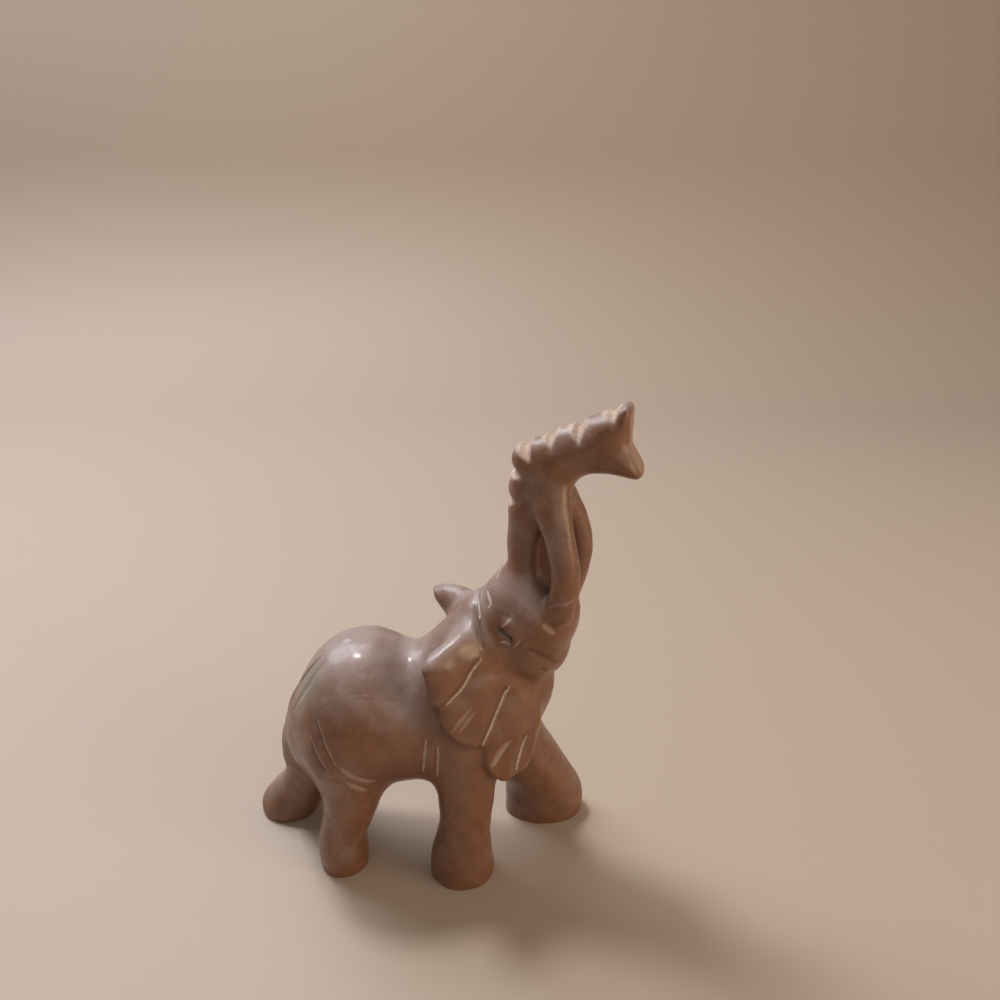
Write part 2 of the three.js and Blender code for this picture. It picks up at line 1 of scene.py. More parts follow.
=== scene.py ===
# %% [markdown]
# # A soapstone elephant
# The elephant is a souvenir about as tall as a finger is long, carved from one soft stone,
# rubbed smooth with wet sandpaper, warmed and waxed. Only the last strokes of the knife and
# the file were left raw, and they show pale: the lines in the ears, the notches over the
# trunk, the corners of the eyes.
#
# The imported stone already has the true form. This lesson lays a finer skin over the same
# form, cuts the fine lines into it, and gives it the look of waxed soapstone.

import bpy
import numpy as np
from mathutils import Euler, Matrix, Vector


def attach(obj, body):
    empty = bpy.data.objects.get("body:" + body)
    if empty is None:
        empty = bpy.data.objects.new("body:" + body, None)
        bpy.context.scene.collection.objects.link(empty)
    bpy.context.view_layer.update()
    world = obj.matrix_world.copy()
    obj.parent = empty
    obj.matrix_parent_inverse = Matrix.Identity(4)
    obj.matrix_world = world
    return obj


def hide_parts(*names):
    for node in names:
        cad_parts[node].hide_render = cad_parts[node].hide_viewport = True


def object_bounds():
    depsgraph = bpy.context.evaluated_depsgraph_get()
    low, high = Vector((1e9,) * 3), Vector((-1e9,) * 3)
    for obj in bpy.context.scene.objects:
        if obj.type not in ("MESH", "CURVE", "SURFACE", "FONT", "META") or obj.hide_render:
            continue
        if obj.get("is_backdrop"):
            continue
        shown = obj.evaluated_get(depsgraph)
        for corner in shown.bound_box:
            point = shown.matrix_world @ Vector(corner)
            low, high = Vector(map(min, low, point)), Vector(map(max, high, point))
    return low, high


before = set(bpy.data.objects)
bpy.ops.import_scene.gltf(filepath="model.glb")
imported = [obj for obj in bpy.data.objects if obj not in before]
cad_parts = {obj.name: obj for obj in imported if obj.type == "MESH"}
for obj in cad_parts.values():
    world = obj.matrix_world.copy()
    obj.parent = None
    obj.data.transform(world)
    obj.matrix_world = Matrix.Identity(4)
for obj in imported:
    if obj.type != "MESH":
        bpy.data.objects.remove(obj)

MM = 0.001
cad_low, cad_high = (np.array(corner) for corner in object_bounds())
print("packed stone, mm:", ((cad_high - cad_low) / MM).round(2))

# %% [markdown]
# ## Shapes as distances
# An animal carved from one stone has no seam to start a grid from: legs, belly, ears and
# trunk all run into each other. It could be sculpted by hand, or built from balls and joined
# with a voxel remesh, which loses every sharp edge. Here each mass is a function that gives
# the distance from any point to its surface, negative inside. Two such functions blend into
# one with a soft fillet, and one can be cut from another. Every function takes all the
# points at once, as one array with a row for each point.

# %% Blend, cut, and smooth curves
def blend(a, b, radius):
    """Smooth union. Where a and b differ by less than radius, they mix in proportion, less
    radius times the product of the two shares, which fills the corner with a fillet."""
    share = np.clip(0.5 + 0.5 * (b - a) / radius, 0, 1)
    return b * (1 - share) + a * share - radius * share * (1 - share)


def carve(a, b, radius):
    """Smooth cut: the blend of the outside of a with b, turned inside out."""
    return -blend(-a, b, radius)


def curve(rows, pieces, closed=False):
    """Catmull-Rom curve through rows of numbers, with so many straight pieces to a row: each
    stretch is the cubic that leaves a row parallel to the line between its two neighbours."""
    rows = np.array(rows, float)
    if closed:
        ring = np.vstack([rows[-1], rows, rows[:2]])
        t = np.arange(len(rows) * pieces) / pieces
    else:
        ring = np.vstack([2 * rows[0] - rows[1], rows, 2 * rows[-1] - rows[-2]])
        t = np.arange((len(rows) - 1) * pieces + 1) / pieces
    start = np.minimum(t.astype(int), len(ring) - 4)
    f = (t - start)[:, None]
    a, b, c, d = (ring[start + k] for k in range(4))
    bend = 2 * a - 5 * b + 4 * c - d
    twist = 3 * b - a - 3 * c + d
    return 0.5 * (2 * b + (c - a) * f + bend * f**2 + twist * f**3)


# %% Eggs and limbs
FAR = 6.0  # mm: past this a rough distance will do, as nothing blends from so far away
LIMB_PIECES = 8


def egg(centre, half, pitch=0.0):
    """Egg-shaped mass tipped nose up by pitch degrees. With r the length of the point in
    units of the half lengths, and s the length of its gradient, the distance is r (r-1)/s."""
    tip = np.radians(pitch)
    cos, sin = np.cos(tip), np.sin(tip)

    def distance(points):
        x, y, z = (points - centre).T
        local = np.array([x * cos + z * sin, y, z * cos - x * sin]) / np.array(half)[:, None]
        reach = np.linalg.norm(local, axis=0)
        slope = np.linalg.norm(local / np.array(half)[:, None], axis=0)
        return reach * (reach - 1) / np.maximum(slope, 1e-9)

    return distance


def limb(rows):
    """Limb through rows of x, y, z, half thickness and half thickness across. The distance
    to each straight piece is the distance to its middle line less the thickness there, with
    the sideways part first stretched to make the section round."""
    line = curve(rows, LIMB_PIECES)
    centre = (line[:, :3].min(0) + line[:, :3].max(0)) / 2
    bound = np.linalg.norm(line[:, :3] - centre, axis=1).max() + np.max(np.array(rows)[:, 3:])

    def distance(points):
        result = np.linalg.norm(points - centre, axis=1) - bound
        near = result < FAR
        beside = points[near]
        nearest = np.full(len(beside), np.inf)
        for a, b in zip(line[:-1], line[1:]):
            step = b[:3] - a[:3]
            t = np.clip((beside - a[:3]) @ step / (step @ step), 0, 1)
            off = beside - a[:3] - t[:, None] * step
            thick = a[3] + t * (b[3] - a[3])
            across = a[4] + t * (b[4] - a[4])
            off[:, 1] *= thick / across
            gap = np.linalg.norm(off, axis=1) - thick
            nearest = np.minimum(nearest, gap * np.minimum(1, across / thick))
        result[near] = nearest
        return result

    return distance


# %% [markdown]
# ## The body and legs
# The rump is the highest and roundest mass, as on the real animal; barrel and shoulders hang
# a little lower in front of it. The right feet stand close together, the left feet spread
# wide, so the elephant is in mid stride. Sizes are millimetres: x ahead, y to the elephant's
# own left, z up from the ground.

# %% Body, legs, neck, chest and tail
BLEND_BODY, BLEND_LIMB, BLEND_FACE = 4.5, 3.0, 1.6
BLEND_LIP, BLEND_EDGE, BLEND_ROOT = 1.0, 0.8, 0.5
BLEND_JAW = 2.6
BLEND_TUSK = 1.2

masses = [
    egg([-7.0, 0, 30.0], [10.9, 12.2, 12.6], -15),  # rump
    egg([-10.4, 1.6, 22.8], [10.3, 8.6, 9.6]),  # haunches
    egg([2.0, 0, 27.5], [14.0, 11.0, 10.2]),  # barrel
    egg([11.0, 0, 28.5], [8.5, 9.5, 11.5], 15),  # shoulders
]
legs = {
    "fore right": limb([
        [10.0, -5.5, 26, 5.2, 5.0],
        [10.1, -6.6, 17, 4.7, 4.6],
        [9.9, -7.2, 10, 4.3, 4.3],
        [9.3, -7.2, 4, 5.2, 4.6],
        [9.3, -7.2, 1, 5.5, 4.7],
    ]),
    "hind right": limb([
        [-8.6, -5.4, 25, 6.9, 6.4],
        [-8.9, -5.6, 17, 5.2, 5.2],
        [-10.1, -5.5, 10.8, 4.2, 4.5],
        [-11.3, -5.3, 6.8, 3.95, 4.3],
        [-11.4, -5.2, 3.8, 4.25, 4.5],
        [-11.4, -5.2, 1, 4.2, 4.2],
    ]),
    "fore left": limb([
        [14.5, 5.0, 27, 5.6, 5.0],
        [18.4, 6.5, 18, 5.4, 5.2],
        [22.4, 7.4, 9, 5.9, 5.2],
        [24.0, 7.5, 3.5, 7.1, 5.0],
        [24.0, 7.5, 1, 7.2, 4.7],
    ]),
    "hind left": limb([
        [-13.5, 5.5, 24, 7.2, 6.2],
        [-17.3, 6.2, 17, 6.1, 5.2],
        [-18.3, 6.8, 11, 5.2, 4.6],
        [-19.9, 7.2, 7, 4.6, 4.4],
        [-22.8, 7.4, 3.4, 4.6, 4.5],
        [-24.0, 7.4, 1, 5.2, 4.5],
    ]),
}
neck = limb([
    [6.5, 0, 32.5, 8.3, 8.5],
    [11.0, 0, 38.6, 7.4, 8.0],
    [15.5, 0, 44.5, 6.8, 7.0],
])
chest = limb([
    [13.5, 0, 24, 6.0, 6.0],
    [17.6, 0, 30, 5.8, 5.4],
    [19.4, 0, 34.5, 5.3, 5.0],
    [19.5, 0, 40, 4.6, 5.0],
])
tail = limb([
    [-8.5, 0, 41.4, 0.9, 0.9],
    [-12.9, 0.1, 37.4, 1.2, 1.5],
    [-16.4, 0.8, 32.7, 1.1, 1.4],
    [-18.7, 2.0, 28, 1.0, 1.2],
    [-20.1, 3.2, 22, 1.2, 1.2],
    [-20.6, 3.6, 18, 1.6, 1.6],
])
collars = [
    limb([
        [13.0, -3.0, 44.0, 4.0, 4.0],
        [9.5, -6.5, 43.2, 3.2, 3.2],
        [7.0, -9.0, 43.0, 2.2, 2.4],
        [5.6, -10.6, 43.6, 1.2, 1.4],
    ]),
    limb([
        [13.0, 3.0, 44.6, 3.8, 3.8],
        [9.5, 6.5, 44.4, 2.4, 2.4],
        [7.4, 8.6, 44.4, 1.5, 1.5],
        [5.8, 10.2, 44.6, 0.9, 0.9],
    ]),
]


def body_field(points):
    """Masses blended one by one, then the four legs together, then neck, chest and tail."""
    skin = masses[0](points)
    for mass in masses[1:]:
        skin = blend(skin, mass(points), BLEND_BODY)
    stance = None
    for leg in legs.values():
        here = leg(points)
        stance = here if stance is None else blend(stance, here, BLEND_LIMB)
    skin = blend(skin, stance, BLEND_LIMB)
    skin = blend(skin, neck(points), BLEND_LIMB)
    skin = blend(skin, chest(points), BLEND_LIMB)
    skin = blend(skin, tail(points), BLEND_ROOT)
    for collar in collars:
        skin = blend(skin, collar(points), BLEND_FACE)
    return skin


# %% [markdown]
# ## The head and trunk
# The head is built facing straight ahead, which keeps its sizes simple, and is then turned
# towards the elephant's right about an upright line through the nape. The trunk climbs in an
# S over the brow. Its back was notched with the edge of a file, so each notch is a short V
# that dies away down the sides.

# %% Head, trunk and tusks
HEAD_TURN = 17.0  # degrees
NAPE_X = 17.0

skull = egg([20.3, 0, 47.8], [7.6, 7.3, 8.2])
snout = egg([24.6, 0, 48.2], [3.7, 6.3, 4.6])
jaw = egg([21.2, 0, 41.5], [5.6, 5.6, 4.9], 8)
eye_hollow = egg([18.9, 7.3, 47.6], [1.4, 0.9, 1.0])
TRUNK = [
    [19.6, 0, 51, 4.2, 5.4],
    [19.9, 0, 56, 2.9, 3.6],
    [20.0, 0, 60.5, 2.95, 3.3],
    [20.8, 0, 65.5, 3.6, 3.4],
    [22.1, 0, 70.7, 4.6, 3.6],
    [25.0, 0, 74.0, 4.0, 3.4],
    [28.2, 0, 75.9, 3.7, 3.2],
    [31.0, 0, 76.8, 3.8, 3.1],
]
trunk = limb(TRUNK)
trunk_corner = egg([20.3, 0, 73.6], [2.4, 2.6, 2.3])
upper_lip = limb([
    [30.3, 0, 77.1, 3.4, 3.0],
    [32.0, 0, 79.0, 2.6, 3.1],
    [33.2, 0, 80.5, 1.8, 2.8],
    [33.8, 0, 81.9, 0.9, 2.2],
])
lower_lip = limb([
    [30.2, 0, 75.6, 3.0, 3.0],
    [32.8, 0, 75.0, 2.6, 3.2],
    [34.9, 0, 73.8, 1.6, 3.0],
    [35.8, 0, 73.1, 0.9, 2.5],
])
throat_web = limb([
    [23.5, 0, 51.5, 3.0, 1.6],
    [23.9, 0, 58, 2.2, 1.3],
    [24.1, 0, 62.5, 2.2, 1.6],
    [23.9, 0, 67, 2.8, 4.2],
])
tusks = [
    limb([
        [23.6, -1.6, 70.6, 2.6, 2.2],
        [24.8, -3.3, 66.8, 2.5, 2.1],
        [26.2, -4.4, 62.5, 2.2, 2.0],
        [27.05, -4.7, 58.5, 2.1, 2.1],
        [27.0, -4.7, 55, 2.15, 2.15],
        [26.4, -4.4, 51.5, 2.2, 2.2],
    ]),
    limb([
        [23.4, 1.6, 69.6, 2.6, 2.2],
        [25.0, 3.5, 65.6, 2.4, 2.1],
        [26.6, 4.4, 61.8, 2.1, 2.0],
        [27.1, 4.7, 58.3, 2.1, 2.1],
        [26.8, 4.7, 55, 2.15, 2.15],
        [25.9, 4.4, 51.5, 2.2, 2.2],
    ]),
]


def head_frame(points):
    """Points turned back with the head: about the nape, by the head's turn."""
    turn = np.radians(HEAD_TURN)
    x = points[:, 0] - NAPE_X
    y = points[:, 1]
    ahead = NAPE_X + np.cos(turn) * x - np.sin(turn) * y
    return np.stack([ahead, np.sin(turn) * x + np.cos(turn) * y, points[:, 2]], 1)


def from_head_frame(points):
    """The other way: from the head facing straight ahead to where it really is."""
    turn = np.radians(HEAD_TURN)
    points = np.array(points, float)
    x = points[:, 0] - NAPE_X
    y = points[:, 1]
    ahead = NAPE_X + np.cos(turn) * x + np.sin(turn) * y
    return np.stack([ahead, np.cos(turn) * y - np.sin(turn) * x, points[:, 2]], 1)


# %% Notches over the trunk
NOTCHES = [  # on the ridge: x, z, and the way the ridge climbs there, in degrees
    [17.1, 67.2, 90],
    [17.6, 71.7, 80],
    [19.5, 76.0, 35],
    [23.2, 77.8, 20],
    [27.2, 79.4, 16],
    [31.7, 81.9, 26],
]
NOTCH_SHARES = [0.8, 1.0, 1.2, 0.9, 1.1, 0.75]  # of the full depth: none is like the next
NOTCH_DEPTH = 0.85
NOTCH_STEEP = 0.65  # from the bottom back to the edge on the head's side
NOTCH_GENTLE = 1.2  # and on towards the tip
NOTCH_REACH = 2.8  # how far down the sides the file went


def notch_vee(points):
    """How far each point is into a notch, 0 to about 1: a V along the ridge, steep on the
    side of the head, that fades to 0 at the notch's reach below the ridge."""
    vee = np.zeros(len(points))
    for (x, z, climb), share in zip(NOTCHES, NOTCH_SHARES):
        ahead = np.array([np.cos(np.radians(climb)), 0, np.sin(np.radians(climb))])
        outward = np.array([-ahead[2], 0, ahead[0]])
        off = points - [x, 0, z]
        ahead_by = off @ ahead
        along = 1 - np.where(ahead_by < 0, -ahead_by / NOTCH_STEEP, ahead_by / NOTCH_GENTLE)
        depth = 1 + off @ outward / NOTCH_REACH
        vee = np.maximum(vee, share * np.clip(along, 0, 1) * np.clip(depth, 0, 1))
    return vee


def head_field(points):
    """Skull, snout and jaw with hollowed eyes, then trunk and lips with the notches taken
    out, then the tusks; points are in the head's own frame."""
    skin = blend(skull(points), snout(points), BLEND_FACE)
    skin = blend(skin, jaw(points), BLEND_JAW)
    both_sides = points * [1, 0, 1] + np.abs(points) * [0, 1, 0]
    skin = carve(skin, eye_hollow(both_sides), BLEND_ROOT)
    mouth = blend(upper_lip(points), lower_lip(points), BLEND_LIP)
    raised = blend(blend(trunk(points), trunk_corner(points), BLEND_FACE), mouth, BLEND_LIP)
    raised += NOTCH_DEPTH * notch_vee(points)
    raised = blend(raised, throat_web(points), BLEND_LIP)
    skin = blend(skin, raised, BLEND_FACE)
    return blend(skin, np.minimum(tusks[0](points), tusks[1](points)), BLEND_TUSK)


# %% [markdown]
# ## The ears
# Each ear is a fan swept back from the throat, thick where it joins the neck and thin at its
# edge. A fan is drawn as an outline in x and z, and bent: at each height it runs from a root
# line by the throat to an outer line behind. Three folds spread over it like the ribs of a
# shell.

# %% Ears
EAR_HEIGHTS = [18, 30, 40, 50]
EAR_ROOT_X, EAR_ROOT_Y = [21.5, 22.0, 18.5, 13.0], [5.4, 5.6, 4.5, 1.7]
EAR_OUTER_X, EAR_OUTER_Y = [12.0, 8.0, 5.0, 4.5], [11.2, 11.8, 11.8, 11.0]
EAR_BOW = 0.6
EAR_OUTWARD = 1.0
EAR_INWARD = [5.0, 5.0, 4.5, 1.6]
EAR_EDGE_ROUND = [0.8, 1.0, 2.4, 1.3]
EAR_RIGHT = [
    [5.2, 45.2],
    [4.8, 41.7],
    [5.4, 37.6],
    [8.6, 31.6],
    [12.8, 28.4],
    [13.9, 24.4],
    [17.0, 21.0],
    [20.3, 22.2],
    [22.2, 28.5],
    [22.0, 36.0],
    [19.0, 43.0],
    [12.5, 47.6],
]
EAR_LEFT = [[4.3, 45.6], [7.0, 40.8], [7.6, 36.0]] + EAR_RIGHT[3:]
EAR_FOLDS = [
    [[5.6, 36.2], [9.8, 38.6], [13.0, 42.0]],
    [[12.4, 27.8], [15.0, 31.9], [17.3, 36.1]],
    [[18.0, 20.8], [19.4, 24.4], [20.3, 27.6]],
]
FOLD_DEPTH = 0.4
FOLD_HALF_WIDTH = 1.2
OUTLINE_PIECES = 3


def to_line(points, line):
    """Distance from points to an open line of straight pieces, in as many dimensions as the
    points have: the least of the distances to its pieces."""
    nearest = np.full(len(points), np.inf)
    for a, b in zip(line[:-1], line[1:]):
        step = b - a
        t = np.clip((points - a) @ step / (step @ step), 0, 1)
        nearest = np.minimum(nearest, np.linalg.norm(points - a - t[:, None] * step, axis=1))
    return nearest


def to_outline(points, outline):
    """Distance to a closed outline, negative inside: a point is inside where a level line
    from it to the right crosses the outline an odd number of times."""
    inside = np.zeros(len(points), bool)
    x, y = points.T
    for a, b in zip(outline, np.roll(outline, -1, 0)):
        crosses = (a[1] <= y) != (b[1] <= y)
        rise = b[1] - a[1] if b[1] != a[1] else 1.0
        inside ^= crosses & (x < a[0] + (y - a[1]) * (b[0] - a[0]) / rise)
    distance = to_line(points, np.vstack([outline, outline[:1]]))
    return np.where(inside, -distance, distance)


def ear(points_of_outline, side):
    """Bent slab with rounded edges. Its two measures are how far a point lies outside the
    outline and how far off the bent face; the length of the two, where positive, rounds the
    corner between them. Side is -1 for the right ear and 1 for the left."""
    outline = curve(points_of_outline, OUTLINE_PIECES, closed=True)
    low, high = outline.min(0), outline.max(0)
    folds = [np.array(line, float) for line in EAR_FOLDS]

    def distance(points):
        flat = points[:, [0, 2]]
        beyond = np.maximum(np.maximum(low - flat, flat - high), 0)
        result = np.maximum(np.linalg.norm(beyond, axis=1), -points[:, 1] * side)
        near = result < FAR
        x, y, z = points[near].T
        flat = flat[near]
        root_x = np.interp(z, EAR_HEIGHTS, EAR_ROOT_X)
        root_y = np.interp(z, EAR_HEIGHTS, EAR_ROOT_Y)
        ux = np.interp(z, EAR_HEIGHTS, EAR_OUTER_X) - root_x
        uy = np.interp(z, EAR_HEIGHTS, EAR_OUTER_Y) - root_y
        length = np.hypot(ux, uy)
        wx, wy = x - root_x, y * side - root_y
        t = np.clip((wx * ux + wy * uy) / length**2, 0, 1)
        outward = (wx * uy - wy * ux) / length - 4 * EAR_BOW * t * (1 - t)
        inward = np.interp(z, EAR_HEIGHTS, EAR_INWARD)
        off = np.abs(outward - (EAR_OUTWARD - inward) / 2)
        nearest_fold = np.min([to_line(flat, line) for line in folds], axis=0)
        fold = FOLD_DEPTH * np.exp(-((nearest_fold / FOLD_HALF_WIDTH) ** 2))
        rounding = np.interp(z, EAR_HEIGHTS, EAR_EDGE_ROUND)
        rim = 0.9 * to_outline(flat, outline) + fold + rounding
        face = off - (EAR_OUTWARD + inward) / 2 + fold + rounding
        corner = np.hypot(np.maximum(rim, 0), np.maximum(face, 0))
        result[near] = np.minimum(np.maximum(rim, face), 0) + corner - rounding
        return result

    return distance


ears = [ear(EAR_RIGHT, -1), ear(EAR_LEFT, 1)]


def stone_field(points):
    """The whole elephant as packed: body, turned head and ears, its feet running on below
    the ground."""
    skin = blend(body_field(points), head_field(head_frame(points)), BLEND_LIP)
    for side in ears:
        skin = blend(skin, side(points), BLEND_EDGE)
    return skin


# %% [markdown]
# ## Knife and file strokes
# What gives the little animal its life is a few dozen strokes made last, through the waxed
# brown skin into pale fresh stone. Each is a line through a few points pressed onto the
# surface. A knife leaves a V; the corner of a file leaves a shallow scoop. A stroke is
# widest in the middle and runs out at both ends. Scratches and a crack, darkened by dirt,
# are strokes too, thin and hardly sunk. The other dark strokes are painted shade: beside
# the cuts, in the creases, eyes and mouth, and along the tail.

# %% Strokes
STEP = 0.03  # mm


def slope(field, points, here=None):
    """Gradient of a field: how much it grows over a small step along x, y and z."""
    here = field(points) if here is None else here
    return np.stack([field(points + way) - here for way in STEP * np.eye(3)], 1) / STEP


def settled(field, points, rounds, furthest):
    """Points moved onto the surface: each round moves them by the distance over the square
    of the slope, along the slope."""
    for _ in range(rounds):
        here = field(points)
        gradient = slope(field, points, here)
        steepness = np.maximum((gradient**2).sum(1), 0.1)
        points = points - np.clip(here / steepness, -furthest, furthest)[:, None] * gradient
    return points


STROKE_REACH = 1.0  # mm: how far above and below its line a stroke is felt


def stroke(rows, half_width, depth, fresh, scoop=False):
    """One stroke, not yet pressed onto the surface: its line, and the half width at each
    point of the line, which runs out at the ends. Fresh is 1 for pale stone, 0
    for waxed, and negative for a dark line: painted shade, or dirt in a scratch."""
    line = curve(rows, 5)
    t = np.linspace(0, 1, len(line))
    widths = half_width * (0.15 + 0.85 * np.sin(np.pi * t) ** 0.7)
    return {"line": line, "widths": widths, "depth": depth, "fresh": fresh, "scoop": scoop}


def press(strokes):
    """Lay the lines of all strokes onto the stone at once, and note which way is out."""
    lines = settled(stone_field, np.vstack([mark["line"] for mark in strokes]), 4, 1.5)
    outward = slope(stone_field, lines)
    outward /= np.linalg.norm(outward, axis=1)[:, None]
    ends = np.cumsum([len(mark["line"]) for mark in strokes])[:-1]
    for mark, line, out in zip(strokes, np.split(lines, ends), np.split(outward, ends)):
        mark["line"], mark["outward"] = line, out


def share_of(mark, points):
    """How far each point is into a stroke: 1 over its line, 0 at its half width, along with
    the share of the full width there. The distance is measured across the surface only: the
    part of it that runs along the outward direction is left out."""
    line, widths, outward = mark["line"], mark["widths"], mark["outward"]
    widest = widths.max()
    reach = widest + STROKE_REACH
    share, size = np.zeros(len(points)), np.zeros(len(points))
    near = ((points > line.min(0) - reach) & (points < line.max(0) + reach)).all(1)
    beside = points[near]
    best, wide = np.zeros(len(beside)), np.zeros(len(beside))
    for k in range(len(line) - 1):
        step = line[k + 1] - line[k]
        t = np.clip((beside - line[k]) @ step / (step @ step), 0, 1)
        off = beside - line[k] - t[:, None] * step
        height = off @ outward[k]
        off -= height[:, None] * outward[k]
        width = widths[k] + t * (widths[k + 1] - widths[k])
        here = 1 - np.linalg.norm(off, axis=1) / width
        better = (here > best) & (np.abs(height) < STROKE_REACH)
        best = np.where(better, here, best)
        wide = np.where(better, width / widest, wide)
    share[near], size[near] = best, wide
    return share, size


def other_side(rows, of_head=False):
    """Rows mirrored to the elephant's left, in the head's own frame where asked."""
    rows = np.array(rows, float)
    if of_head:
        return from_head_frame(head_frame(rows) * [1, -1, 1])
    return rows * [1, -1, 1]


EAR_LINES = [
    [[7.7, -11.7, 37.9], [10.1, -10.5, 39.5], [12.3, -8.7, 42.6], [13.1, -8.1, 43.9]],
    [[13.0, -10.8, 29.7], [14.9, -9.6, 32.9], [16.9, -7.6, 37.0], [17.3, -7.1, 38.3]],
    [[18.4, -8.6, 22.6], [19.2, -8.1, 25.1], [20.2, -7.8, 29.9]],
]
EAR_FILING = [
    [[8.5, -12.2, 33.3], [10.1, -11.6, 35.2], [11.6, -10.7, 36.8]],
    [[9.6, -12.0, 33.2], [10.9, -11.3, 34.6], [12.0, -10.6, 36.0]],
]
EAR_FACET = [[14.3, -10.9, 25.5], [16.0, -10.1, 27.9], [17.0, -9.5, 29.5]]
FORELEG_CUTS = [
    [[4.4, -10.4, 30.9], [4.2, -10.9, 28.5], [3.6, -10.3, 24.1]],
    [[6.2, -10.7, 29.7], [6.1, -11.0, 27.1], [5.8, -10.1, 22.7]],
]
HAUNCH_LINES = [
    [[-12.3, -9.7, 34.1], [-11.5, -10.9, 31.9], [-10.6, -11.8, 29.5], [-9.4, -12.3, 26.7]],
    [[-13.5, -10.0, 30.5], [-12.7, -10.9, 28.6], [-11.7, -11.7, 26.7], [-10.9, -11.9, 25.5]],
]
GROIN = [[-8.9, -12.2, 26.8], [-7.2, -12.3, 24.9], [-5.5, -11.7, 23.5], [-3.6, -10.9, 22.8]]
GROIN_LOW = [[-8.3, -12.0, 23.6], [-6.9, -11.6, 22.0], [-5.5, -10.8, 20.9]]
TAIL_LINES = [
    [[-20.0, 0.4, 27.0], [-18.7, 0.5, 30.9], [-15.9, -2.1, 36.4], [-12.4, -1.7, 40.3]],
    [[-17.8, -3.6, 30.6], [-14.8, -5.2, 36.3], [-11.7, -3.4, 40.3]],
]
SCRATCHES = [
    [[-11.8, -9.6, 35.1], [-11.0, -9.5, 36.0], [-10.0, -9.3, 37.0]],
    [[-7.7, -9.2, 38.0], [-5.8, -9.1, 38.3], [-3.8, -8.9, 38.0]],
    [[-7.0, -9.7, 37.5], [-5.2, -9.6, 37.6], [-3.1, -9.3, 37.2]],
]
FOREHEAD_NICKS = [
    [[15.3, -1.9, 54.3], [15.6, -0.4, 54.9], [15.9, 1.2, 54.9]],
    [[13.8, -1.6, 52.3], [14.3, -4.1, 51.5], [14.0, -4.4, 50.4]],
    [[12.4, -1.0, 50.6], [12.6, -3.8, 49.4], [12.7, -4.5, 48.6]],
]
NAPE_CREASE = [[12.6, 1.2, 50.7], [12.1, -2.0, 50.1], [12.0, -4.1, 48.8], [12.7, -6.6, 46.9],
               [13.3, -7.6, 45.0]]
EYE_LID = [[16.2, -7.0, 48.9], [17.0, -7.2, 50.1], [17.7, -7.3, 51.2]]
EYE_CORNER = [[15.2, -6.6, 48.3], [16.1, -6.7, 47.7], [17.0, -7.0, 47.0]]
EYE_SLIT = [[16.9, -7.2, 48.3], [17.3, -6.8, 47.3], [17.6, -7.6, 46.4]]
EYE_POUCH = [[15.9, -7.1, 46.0], [16.7, -7.3, 46.1], [17.4, -7.4, 45.6]]
EYE_OUTER = [[17.8, -7.6, 45.3], [18.5, -8.0, 46.4], [19.0, -8.1, 47.5]]
CHEEK_CHIP = [[22.1, -8.2, 50.0], [23.0, -8.4, 49.4], [24.1, -8.3, 48.2]]
MOUTH = [[19.8, -8.0, 45.7], [21.4, -7.7, 44.4], [23.1, -7.0, 42.8], [24.4, -6.0, 41.8]]
MOUTH_DENT = [[21.8, -6.9, 41.0], [22.4, -6.7, 40.8], [22.9, -6.4, 40.4]]
TUSK_RING = [[22.9, -8.0, 52.8], [23.9, -9.1, 53.9], [24.9, -9.5, 54.0], [25.9, -9.4, 54.2],
             [26.8, -8.8, 54.6], [27.4, -7.8, 55.3]]
TUSK_CRACK = [[24.2, -8.6, 64.1], [24.9, -8.5, 64.3], [25.7, -8.1, 64.0]]

def beside(rows, by):
    """Rows moved across the surface, back along x by so many millimetres."""
    return np.array(rows, float) - [by, 0, 0]


strokes = []
for line in EAR_LINES:
    for rows in (line, other_side(line)):
        # The two dark strokes behind each pale line are painted shade on the fold's shaded side.
        strokes.append(stroke(beside(rows, 0.9), 1.2, 0.30, -0.3, scoop=True))
        strokes.append(stroke(beside(rows, 0.42), 0.5, 0.30, -0.7))
        strokes.append(stroke(rows, 0.30, 0.24, 1.0))
for line in EAR_FILING:
    strokes.append(stroke(line, 0.55, 0.12, 0.26, scoop=True))
strokes.append(stroke(EAR_FACET, 0.95, 0.30, 0.30, scoop=True))
strokes.append(stroke(beside(EAR_FACET, -0.55), 0.25, 0.12, 0.75))
for line in FORELEG_CUTS:
    # The dark stroke behind each cut is painted shade.
    strokes.append(stroke(beside(line, 0.35), 0.45, 0.30, -0.55))
    strokes.append(stroke(line, 0.40, 0.28, 0.62))
for line in HAUNCH_LINES:
    for rows in (line, other_side(line)):
        # The dark stroke behind each line is painted shade.
        strokes.append(stroke(beside(rows, 0.40), 0.55, 0.20, -0.4))
        strokes.append(stroke(rows, 0.28, 0.14, 0.6))
strokes.append(stroke(GROIN, 0.8, 0.22, 0.30, scoop=True))
strokes.append(stroke(GROIN_LOW, 0.9, 0.22, 0.34, scoop=True))
# The dark strokes along the tail are painted shade beside it.
strokes.append(stroke(TAIL_LINES[0], 0.45, 0.28, -0.7))
strokes.append(stroke(TAIL_LINES[1], 0.9, 0.2, -0.2, scoop=True))
for line in SCRATCHES:
    strokes.append(stroke(line, 0.16, 0.04, -0.45))
for line in FOREHEAD_NICKS:
    strokes.append(stroke(line, 0.42, 0.30, 0.75))
# The dark creases at the nape are painted shade.
strokes.append(stroke(NAPE_CREASE, 0.9, 0.45, -0.35))
strokes.append(stroke(other_side(NAPE_CREASE, True), 0.9, 0.4, -0.35))
